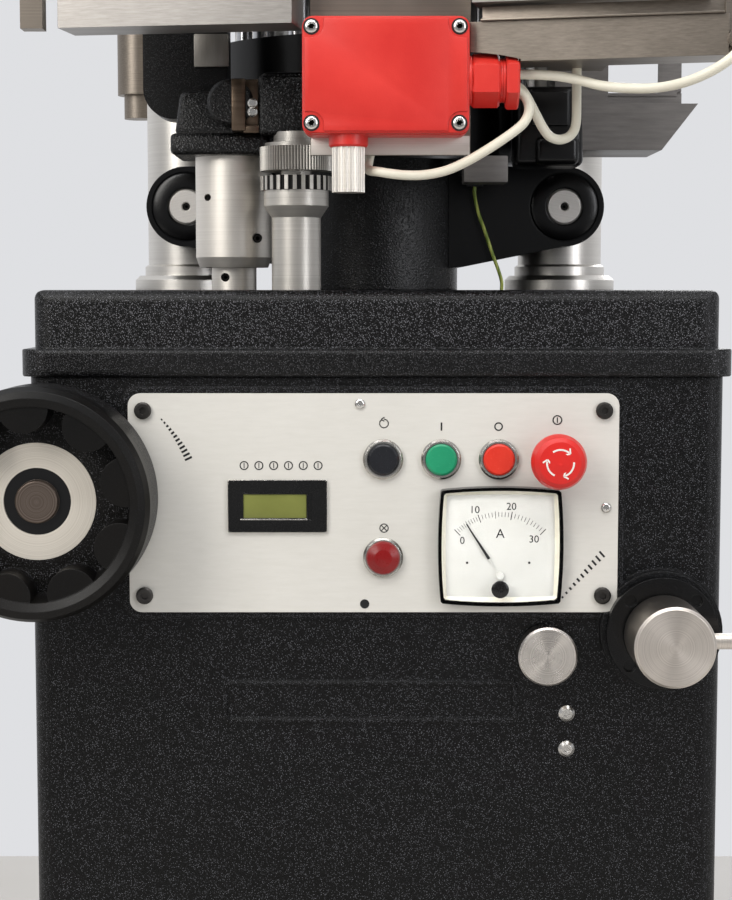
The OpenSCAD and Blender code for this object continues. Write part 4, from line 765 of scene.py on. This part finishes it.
# %% Floor finish
floor_finish, tree, shader, where = blank("pale_floor")
patch = patches_on(tree, where, 3)
drive(tree, shader, Base_Color=between(tree, patch, (191, 188, 183), (198, 195, 191)),
    Roughness=spread(tree, patch, 0, 1, 0.6, 0.7))
floor.data.materials.append(floor_finish)

# %% [markdown]
# ## Finishes on the fixed nodes
# Each node of the solid model gets one finish. A knob's rings have to lie round its own
# axis, so the two knobs and the wheel's hub have a finish made for their own centre.

# %% Assign finishes
node_finish = {
    "casting": "pedestal base_casing rear_door crown cam_bracket",
    "lid": "base_lid",
    "rough_casting": "centre_column fill_cam_arm post_clamp",
    "wheel": "speed_handwheel",
    "smooth_black": "lower_crosshead pressure_flange",
    "machine_green": "motor gear_frame",
    "column": "rear_columns turret_shaft",
    "sleeve": "post_sleeve switch_actuator",
    "adjuster": "adjuster_stem fill_drum",
    "tool": "dies lower_punches upper_punches lower_roll upper_roll worm_shaft",
    "turret": "turret",
    "dark_iron": "lower_cam upper_cam",
    "pulley": "motor_pulley main_pulley",
    "bronze": "worm_wheel feed_frame",
    "bar": "guard_frame",
    "sheet": "left_guard_door right_guard_door",
    "spun_steel": "hopper",
    "chute": "discharge_chute",
    "panel": "control_panel",
    "black_plastic": "panel_screws tablet_counter ammeter ammeter_needle",
    "belt": "drive_belt",
    "reset": "reset_button",
    "start": "start_button",
    "stop": "stop_button",
    "mushroom": "emergency_button",
    "lamp": "overload_lens",
    "switch": "interlock_switch",
    "cream": "cable_right cable_left cable_loop",
    "earth": "earth_wire",
    "bezel": "button_bezels",
    "clear": "ammeter_cover",
    "hub": "handwheel_hub",
    "pin": "crosshead_pins",
    "pressure_knob": "pressure_knob",
    "small_knob": "small_knob",
}
for key, names in node_finish.items():
    for name in names.split():
        slots = nodes[name].data.materials
        slots.clear()
        slots.append(finish[key])
print("nodes with no finish:", set(nodes) - set(" ".join(node_finish.values()).split()))
for piece in cables:
    piece.data.materials.append(finish["cream"])
earth_lead.data.materials.append(finish["earth"])

# %% [markdown]
# ## The meter's dial
# Behind the clear cover lies a pale card with a scale of thirty parts, long marks at every
# fifth, plain numbers at every tenth and the unit's letter. The scale isn't even: the marks
# stand closer at its start, so the angles are read off at each fifth and filled in between.

# %% Dial forms
def bulged(bm, w, h, sag, where):
    """Pushes each side of a flat outline out by a sag in mm, most at its middle."""
    for v in bm.verts:
        x, y = v.co.x / (w / 2 * MM), v.co.y / (h / 2 * MM)
        v.co.x += x * sag * MM * (1 - min(1, y * y))
        v.co.y += y * sag * MM * (1 - min(1, x * x))
    bmesh.ops.transform(bm, matrix=where, verts=bm.verts)


def meter_plate(w, h, t, r, where, hollow=0.0, edge=0.2):
    bm = bmesh.new()
    round_plate(bm, w, h, t, r, Matrix(), edge=edge)
    long = [e for e in bm.edges if e.calc_length() > 30 * MM]
    bmesh.ops.subdivide_edges(bm, edges=long, cuts=9)
    if hollow:
        bm.normal_update()
        front = [f for f in bm.faces if f.normal.z > 0.99]
        bmesh.ops.inset_region(bm, faces=front, thickness=hollow * MM, depth=0)
        moving = {v for f in front for v in f.verts}
        bmesh.ops.translate(bm, vec=(0, 0, -t * MM), verts=list(moving))
        bm.normal_update()
        back = [f for f in bm.faces if f.normal.z < -0.99]
        bmesh.ops.delete(bm, geom=front + back, context="FACES")
    bulged(bm, w, h, 1.1, where)
    return bm

# %% Card and frame
METER = (90, -309.9, 593.8)
bm = meter_plate(83, 79, 0.6, 5, front(*METER))
finished("dial_card", bm, "dial")
bm = meter_plate(86, 82, 3.4, 4, front(METER[0], -310.55, METER[2]), hollow=3.4, edge=0.8)
finished("dial_frame", bm, "dial_frame")

# %% Scale
INK_Y = -310.6
PIVOT_Z = 571.8
known_angles = {0: -44.5, 5: -32.5, 10: -20.0, 15: -4.6, 20: 10.4, 25: 27.0, 30: 44.0}


def dial_angle(value):
    low = min(value // 5 * 5, 25)
    share = (value - low) / 5
    return known_angles[low] * (1 - share) + known_angles[low + 5] * share


def round_about(x, y, z, radius, degrees):
    """A frame at that distance from a point, turned with its angle from the upright."""
    a = math.radians(degrees)
    return at(x + radius * math.sin(a), y, z + radius * math.cos(a)) @ turned_by(degrees)


bm = bmesh.new()
for value in range(31):
    inner, outer, wide = (41.8, 47.8, 0.55) if value % 10 == 0 else (43.4, 46.9, 0.32)
    if value % 10 == 5:
        inner, outer = 42.2, 47.6
    block(bm, (wide, 0.1, outer - inner),
        round_about(METER[0], INK_Y, PIVOT_Z, (inner + outer) / 2, dial_angle(value)))
for x in (65.9, 111.3):
    lathe(bm, [(0, 0.15), (0.9, 0.15), (0.9, 0)], front(x, -310.5, 581.4), 16)
finished("dial_marks", bm, "ink")

# %% Numbers and unit
def written(name, words, height, x, z):
    """Plain raised characters, centred on a place and facing the front."""
    data = bpy.data.curves.new(name, "FONT")
    data.body = words
    data.size = height / 0.7 * MM
    data.align_x = "CENTER"
    data.align_y = "CENTER"
    data.extrude = 0.05 * MM
    data.resolution_u = 4
    holder = bpy.data.objects.new(name + "_curve", data)
    scene.collection.objects.link(holder)
    bpy.context.view_layer.update()
    mesh = bpy.data.meshes.new_from_object(holder.evaluated_get(
        bpy.context.evaluated_depsgraph_get()))
    bpy.data.objects.remove(holder)
    bm = bmesh.new()
    bm.from_mesh(mesh)
    bmesh.ops.transform(bm, matrix=front(x, INK_Y, z), verts=bm.verts)
    finished(name, bm, "ink")


for words, x, z in (("0", 62.3, 597.6), ("10", 71.2, 620.2), ("20", 98.0, 622.6),
        ("30", 114.6, 598.6)):
    written("dial_number_" + words, words, 5.3, x, z)
written("dial_unit", "A", 6.7, METER[0], 602.6)

# %% [markdown]
# ## The needle
# The needle is a thin black blade, wide at the foot and fine at the tip, that starts a little
# way up from its pivot. The arm below it and the hub are pale and blend with the card. All
# three ride on the needle's body, so they swing together over the scale.

# %% Needle blade and arm
REST_ANGLE = -33
pivot = at(METER[0], -311.8, PIVOT_Z) @ turned_by(REST_ANGLE)
bm = bmesh.new()
block(bm, (2.2, 0.5, 30.6), at(0, 0, 30.3))
bmesh.ops.scale(bm, vec=(0.3, 1, 1), verts=[v for v in bm.verts if v.co.z > 40 * MM])
bmesh.ops.transform(bm, matrix=pivot, verts=bm.verts)
needle = finished("needle_blade", bm, "ink", "needle")
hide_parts("ammeter_needle")
bm = bmesh.new()
block(bm, (0.8, 0.4, 15), pivot @ at(0, 0, 7.6))
lathe(bm, [(0, 0), (3, 0), (3, 0.8), (2.6, 1.1), (0, 1.1)],
    front(METER[0], -311.4, PIVOT_Z), 24)
finished("needle_arm", bm, "dial", "needle")

# %% Zero screw
bm = bmesh.new()
lathe(bm, [(0, 0), (6.4, 0), (6.4, 0.9), (5.6, 1.5), (2.2, 1.7), (2.0, 1.2), (0, 1.2)],
    front(89.6, -318.0, 562.9), 40)
block(bm, (3.4, 0.5, 0.8), at(89.6, -319.6, 562.9))
finished("zero_screw", bm, "black_plastic")

# %% [markdown]
# ## Marks on the panel
# The panel's controls are named by plain marks in the places where such panels name them: a
# ring arrow for reset, a bar for start, a ring for stop, a ring with a bar for emergency, a
# crossed ring for the lamp, six barred rings for the count, and two wedges that grow the way
# the speed and the pressure do. Thin raised bars and rings keep their edges from near by,
# which a painted mask would not.

# %% Panel marks
MARK_Y = -306.1


def ring_mark(bm, x, z, outer, inner):
    lathe(bm, [(inner, 0), (inner, 0.12), (outer, 0.12), (outer, 0)],
        front(x, MARK_Y + 0.1, z), 32)


def bar_mark(bm, x, z, w, h, angle=0.0):
    block(bm, (w, 0.12, h), at(x, MARK_Y + 0.04, z) @ turned_by(angle))

# %% Marks, one piece
bm = bmesh.new()
for i in range(9):
    block(bm, (2.2, 0.12, 0.75),
        round_about(5.1, MARK_Y + 0.04, 683.1, 3.1, 20 + 290 / 8 * i))
bar_mark(bm, 4.4, 687.0, 0.8, 2.6, 60)
bar_mark(bm, 4.2, 685.4, 0.8, 2.6, 120)
bar_mark(bm, 47.0, 680.8, 1.2, 6.0)
ring_mark(bm, 88.6, 680.8, 3.2, 2.2)
ring_mark(bm, 131.4, 685.6, 3.6, 2.7)
bar_mark(bm, 131.4, 685.6, 0.8, 4.0)
ring_mark(bm, 5.2, 606.3, 3.4, 2.7)
for angle in (45, -45):
    bar_mark(bm, 5.2, 606.3, 0.7, 5.6, angle)
for i in range(6):
    ring_mark(bm, -97 + 10.8 * i, 652.3, 3.3, 2.5)
    bar_mark(bm, -97 + 10.8 * i, 652.3, 0.6, 3.9)
for i in range(12):
    growing = 1.0 + 0.42 * i
    block(bm, (1.5, 0.12, growing), round_about(-249, MARK_Y + 0.04, 603, 124, 48 + 1.45 * i))
    bar_mark(bm, 133.5 + 31.5 * i / 11, 552 + 35 * i / 11, 1.5, growing, -42)
finished("panel_marks", bm, "ink")

# %% [markdown]
# ## Twist arrows
# An emergency button stays down until it is twisted, and three arrows on its cap say so. Each
# is a short arc of small blocks with two slanting ones for its head. They ride on the button's
# own body, so they go in with it.

# %% Twist arrows on the emergency button
CAP = (130.5, -339.0, 657)
ARROW_R = 9.6
bm = bmesh.new()
for start in (90, 210, 330):
    for i in range(9):
        block(bm, (1.45, 0.5, 1.3), round_about(*CAP, ARROW_R, start + 8 * i))
    for lean in (-48, 48):
        head = round_about(*CAP, ARROW_R + lean / 32, start + 68)
        block(bm, (3.9, 0.5, 1.1), head @ turned_by(lean))
finished("twist_arrows", bm, "white_ink", "emergency")

# %% [markdown]
# ## Counter and small screws
# The counter's window is a dull olive glass set back in its black case. The panel's two
# small fixing screws, the plain hole, the two button heads below the small knob and the earth
# terminal's brass screws are turned or socket-headed pieces. The hole is a black disc inside a
# rim, which paints in its shade.

# %% Screw groups
def screws(name, places, look, slot, radius, height, *recess, **shape):
    """Like screws at several places, which face the front, as one piece."""
    bm = bmesh.new()
    for place in places:
        socket_head(bm, radius, height, front(*place), *recess, **shape)
    return finished(name, bm, look)


# %% Counter display and screws
PANEL = (-2.5, 624.5)
PANEL_Y = -306
WINDOW = (-75.2, 622.6)
SIDES = ((1, 0), (-1, 0), (0, 1), (0, -1))
bm = bmesh.new()
round_plate(bm, 47.5, 17.6, 0.4, 0.8, front(WINDOW[0], -307.25, WINDOW[1]), edge=0.1)
finished("count_window", bm, "display")
bm = bmesh.new()
for sx, sz in SIDES:
    size = (1.0, 1.0, 19.6) if sx else (49.5, 1.0, 1.0)
    block(bm, size, at(WINDOW[0] + sx * 24.3, -307.9, WINDOW[1] + sz * 9.3), 0.2)
finished("count_window_frame", bm, "black_plastic")
bm = bmesh.new()
for sx, sz in SIDES:
    size = (0.9, 1.4, 38.4) if sx else (72, 1.4, 0.9)
    block(bm, size, at(-72.7 + sx * 35.9, -307.1, WINDOW[1] + sz * 18.9), 0.25)
block(bm, (49.5, 0.5, 0.9), at(WINDOW[0], -308.3, 612.9), 0.15)
finished("count_trim", bm, "bezel")
corners = [(PANEL[0] + sx * 168, PANEL_Y, PANEL[1] + sz * 68)
    for sx in (-1, 1) for sz in (-1, 1)]
bolts = screws("panel_bolts", corners, "bolt", "black_plastic", 6.25, 3.5, 2.9, 6, 2.2)
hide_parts("panel_screws")
screws("panel_small_screws", [(-12.4, PANEL_Y, 697.4), (167.7, PANEL_Y, 621.4)], "screw",
    "stainless", 3.7, 1.6, 1.3, 6, 0.9, dome=0.5)
# Painted shade: the plain hole is a flat black disc in a rim, standing in for the dark inside it.
bm = bmesh.new()
lathe(bm, [(3.4, 0), (3.4, 0.3), (2.6, 0.3), (2.4, 0.05), (0, 0.05)],
    front(-9.0, PANEL_Y, 550.2), 24)
finished("panel_hole_shade", bm, "ink")
screws("casing_button_heads", [(140.8, -300, z) for z in (467.3, 440.5)], "screw",
    "stainless", 6.1, 2.0, 2.4, 6, 1.6, dome=1.4)
screws("terminal_screws", [(x, -60, 871.5) for x in (76.5, 81.6)], "brass", "bronze",
    1.9, 2.5, 0.8, 6, 1.0)

# %% [markdown]
# ## The red switch
# The safety switch is the brightest thing on the machine, so its plain block is replaced by
# a moulded case: a box with soft corners, a lid with a fine joint line and four sunk screws,
# a hexagonal gland with its nut, and the collar for the actuator below it.

# %% Switch case and gland
SWITCH = (6, 930)
SCREWS = [(x, z) for x in (-46.2, 57.4) for z in (896.6, 963.2)]
bm = bmesh.new()
round_plate(bm, 118, 82, 24.5, 7, front(SWITCH[0], -305, SWITCH[1]), edge=0.4)
round_plate(bm, 117, 81, 9.1, 7, front(SWITCH[0], -329.8, SWITCH[1]), edge=1.4)
notched_plate(bm, 114, 78, 1.05, 13.5, 9, front(SWITCH[0], -338.9, SWITCH[1]), edge=0.5)
lathe(bm, [(0, -9), (14, -9), (14, -1.2), (13, 0), (0, 0)],
    at(-20.5, -322, 881) @ turned_by(180, "X"), 40)
ALONG = at(0, -322, 927.5) @ turned_by(90)
for start, end, r, sides, soft in ((64, 66.5, 17.5, 40, 0.6), (66.5, 86.5, 19, 6, 1.6),
        (86.5, 88.3, 15.4, 40, 0.5), (88.3, 90.5, 15.4, 40, 0.5)):
    lathe(bm, [(0, start), (r - soft, start), (r, start + soft), (r, end - soft),
        (r - soft, end), (0, end)], ALONG, sides)
lathe(bm, [(15.8, 92), (15.8, 90.5), (18.8, 90.5), (20.2, 91.9), (20.2, 98.5),
    (18.8, 99.9), (15.8, 99.9), (15.8, 92)], ALONG, 6)
lathe(bm, [(13.5, 91), (13.5, 99.4), (14, 99.7), (16.4, 99.7), (16.4, 91), (13.5, 91)],
    ALONG, 40)
case = finished("switch_case", bm, "switch", soft=30)
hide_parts("interlock_switch")
bm = bmesh.new()
lathe(bm, [(0, 91), (13.6, 91), (13.6, 92), (0, 92.2)], ALONG, 32)
finished("gland_seal", bm, "belt")
screws("switch_screws", [(x, -339.1, z) for x, z in SCREWS], "screw", "stainless", 4.5, 1.0,
    2.6, 12, 1.1, dome=0.4, star=0.62)
# Painted shadow: a flat black ring round each screw stands in for the shade in its sunk seat.
bm = bmesh.new()
for x, z in SCREWS:
    lathe(bm, [(4.6, 0), (4.6, 0.3), (5.7, 0.3), (5.7, 0)], front(x, -339.0, z), 32)
finished("switch_screw_shadow_rings", bm, "ink")

# %% [markdown]
# ## The switch's backing plate
# A strip of the plate that carries the switch shows below it. It is paler than the rail,
# so it gets a face of its own in a brighter sheet.

# %% Backing strip
bm = bmesh.new()
block(bm, (114, 0.5, 13.6), at(9.5, -305.3, 883.6), 0.1)
finished("backing_strip", bm, "backing")

# %% [markdown]
# ## The black castings round the turret
# Between the switch and the columns the machine is a heap of small black castings. The solid
# model has some of them as plain forms, and here they get the soft corners of cast iron: the
# clamp on the post, the lug with its steel block and two screws, and the bracket's pad. Each
# is a box whose edges are bevelled, and one face is drawn in where the casting tapers.

# %% Cast pieces
def casting(bm, low, high, round_by, taper=1.0, lean=(0, 0), segments=3):
    """A cast block between two corners in mm, its top drawn in and leaning over."""
    before = set(bm.verts)
    size = Vector(high) - Vector(low)
    middle = (Vector(high) + Vector(low)) / 2
    verts = bmesh.ops.create_cube(bm, size=1, matrix=Matrix.Diagonal(
        (*(s * MM for s in size), 1)))["verts"]
    top = [v for v in verts if v.co.z > 0]
    bmesh.ops.scale(bm, vec=(taper, taper, 1), verts=top)
    bmesh.ops.translate(bm, vec=(lean[0] * MM, lean[1] * MM, 0), verts=top)
    bevel(bm, edges_of(verts), round_by, segments)
    bmesh.ops.translate(bm, vec=middle * MM, verts=added(bm, before))

# %% Clamp, lug and pad
bm = bmesh.new()
casting(bm, (-161, -191.5, 885.5), (-84, -112, 902), 3.5)
casting(bm, (-158, -190, 900), (-108, -147, 935), 5, taper=0.9, lean=(2, 1))
finished("clamp_casting", bm, "rough_casting")

bm = bmesh.new()
casting(bm, (-91.5, -206, 899.5), (-50, -146, 945), 4)
casting(bm, (-96, -196, 903), (-50, -150, 949), 5, taper=0.92, lean=(4, 0))
lathe(bm, [(0, 0), (18, 0), (18, 12), (15.5, 14.5), (0, 15)],
    front(-113, -190, 924.5), 40)
lug = finished("cam_lug", bm, "rough_casting")
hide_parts("fill_cam_arm")
bm = bmesh.new()
casting(bm, (-112, -206.5, 902.5), (-101, -170, 942.5), 1.2, segments=2)
casting(bm, (-103, -200, 902.5), (-90.5, -170, 942.5), 0.8, segments=2)
casting(bm, (-103, -205, 901), (-90.5, -199, 907), 1, segments=2)
finished("lug_steel_block", bm, "tea_steel")
screws("lug_screws", [(-95.6, -204, z) for z in (916.8, 923.6)], "screw", "stainless",
    3.9, 3.2, dome=0.6)
bm = bmesh.new()
casting(bm, (-145.7, -150.5, 957.8), (-117.6, -146, 984), 0.8, segments=2)
finished("bracket_pad", bm, "tough_steel")

# %% [markdown]
# ## Turret guard and feeder housing
# A curved guard stands close in front of the turret's foot. It is an arc spun from a short
# upright outline and then given its wall by solidify, so it follows the turret's round with
# a few millimetres of air. The housing beside the chute is four cast blocks run together.

# %% Turret guard and housing
GUARD_R = 147
bm = bmesh.new()
foot = [bm.verts.new((GUARD_R * MM, 0, z * MM)) for z in (886, 912, 913, 986)]
line = [bm.edges.new(pair) for pair in zip(foot, foot[1:])]
bmesh.ops.rotate(bm, verts=foot, cent=(0, 0, 0), matrix=turned_by(214, "Z").to_3x3())
bmesh.ops.spin(bm, geom=foot + line, axis=(0, 0, 1), cent=(0, 0, 0),
    angle=math.radians(106), steps=42)
bmesh.ops.recalc_face_normals(bm, faces=bm.faces)
bmesh.ops.solidify(bm, geom=bm.faces, thickness=2.2 * MM)
finished("turret_guard", bm, "smooth_black")
bm = bmesh.new()
casting(bm, (112, -150, 879.5), (167, -104.8, 943), 5, taper=0.94)
casting(bm, (128, -156, 880), (163, -120, 903), 5)
casting(bm, (124.5, -152, 911), (155, -140, 939), 1.6)
casting(bm, (96, -140, 930), (122, -112, 962), 4, taper=0.9)
finished("feeder_housing", bm, "smooth_black")
bm = bmesh.new()
casting(bm, (71, -146, 866.5), (106.5, -112, 888), 1, segments=2)
finished("guard_foot", bm, "chute")

# %% [markdown]
# ## Pins, washers and set screws
# The crosshead's two pins have a chamfered face with a threaded hole for pulling them out,
# and each sits in a smooth black washer. A black socket head sits a little way into each pin's
# hole as painted shade. The post's holes hold black set screws, which also darken them as
# painted shade. These are turned outlines, or heads with a six-sided socket.

# %% Pins and set screws
PINS = ((-164, -36, 852), (164, -36, 852))
bm = bmesh.new()
for place in PINS:
    lathe(bm, [(0, -8), (3.3, -8), (3.3, 0.2), (4.1, 1), (13.9, 1), (15.5, -0.8),
        (15.5, -37), (0, -37), (0, -8)], front(*place))
pins = finished("pin_faces", bm, "pin")
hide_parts("crosshead_pins")
bm = bmesh.new()
for place in PINS:
    lathe(bm, [(15.8, -2.8), (15.8, 1.2), (16.6, 2), (25.5, 2), (28.6, 0.6),
        (29.2, -2.8), (15.8, -2.8)], front(*place), 64)
finished("pin_washers", bm, "smooth_black")
bm = bmesh.new()
# Painted shade: dark socket heads in the two pin holes stand for their shade, and the set screws
# darken the post's three holes too.
for x, y, z, r in ((-164, -31.5, 852, 3.3), (164, -31.5, 852, 3.3), (-133.5, -163, 853, 2.7),
        (-94.5, -163, 821, 3.7), (-120.5, -160, 790, 3.4)):
    socket_head(bm, r, 2.5, front(x, y, z), 0.45 * r, 6, 1.5)
finished("set_screws_and_hole_shade", bm, "set_screw")

# %% [markdown]
# ## Sheet behind the rail
# A folded sheet closes the gap between the rail and the door above it. It lies along the rail,
# which is turned a little from the machine's front.

# %% Rail lining
RAIL_TURN = -13.6
bm = bmesh.new()
along = at(64, -329, 0) @ turned_by(RAIL_TURN, "Z")
block(bm, (168, 1.5, 24), along @ at(93, 5.5, 966.5), 0.3)
block(bm, (168, 9, 1.5), along @ at(93, 1.4, 968.4), 0.3)
finished("rail_lining", bm, "bar")
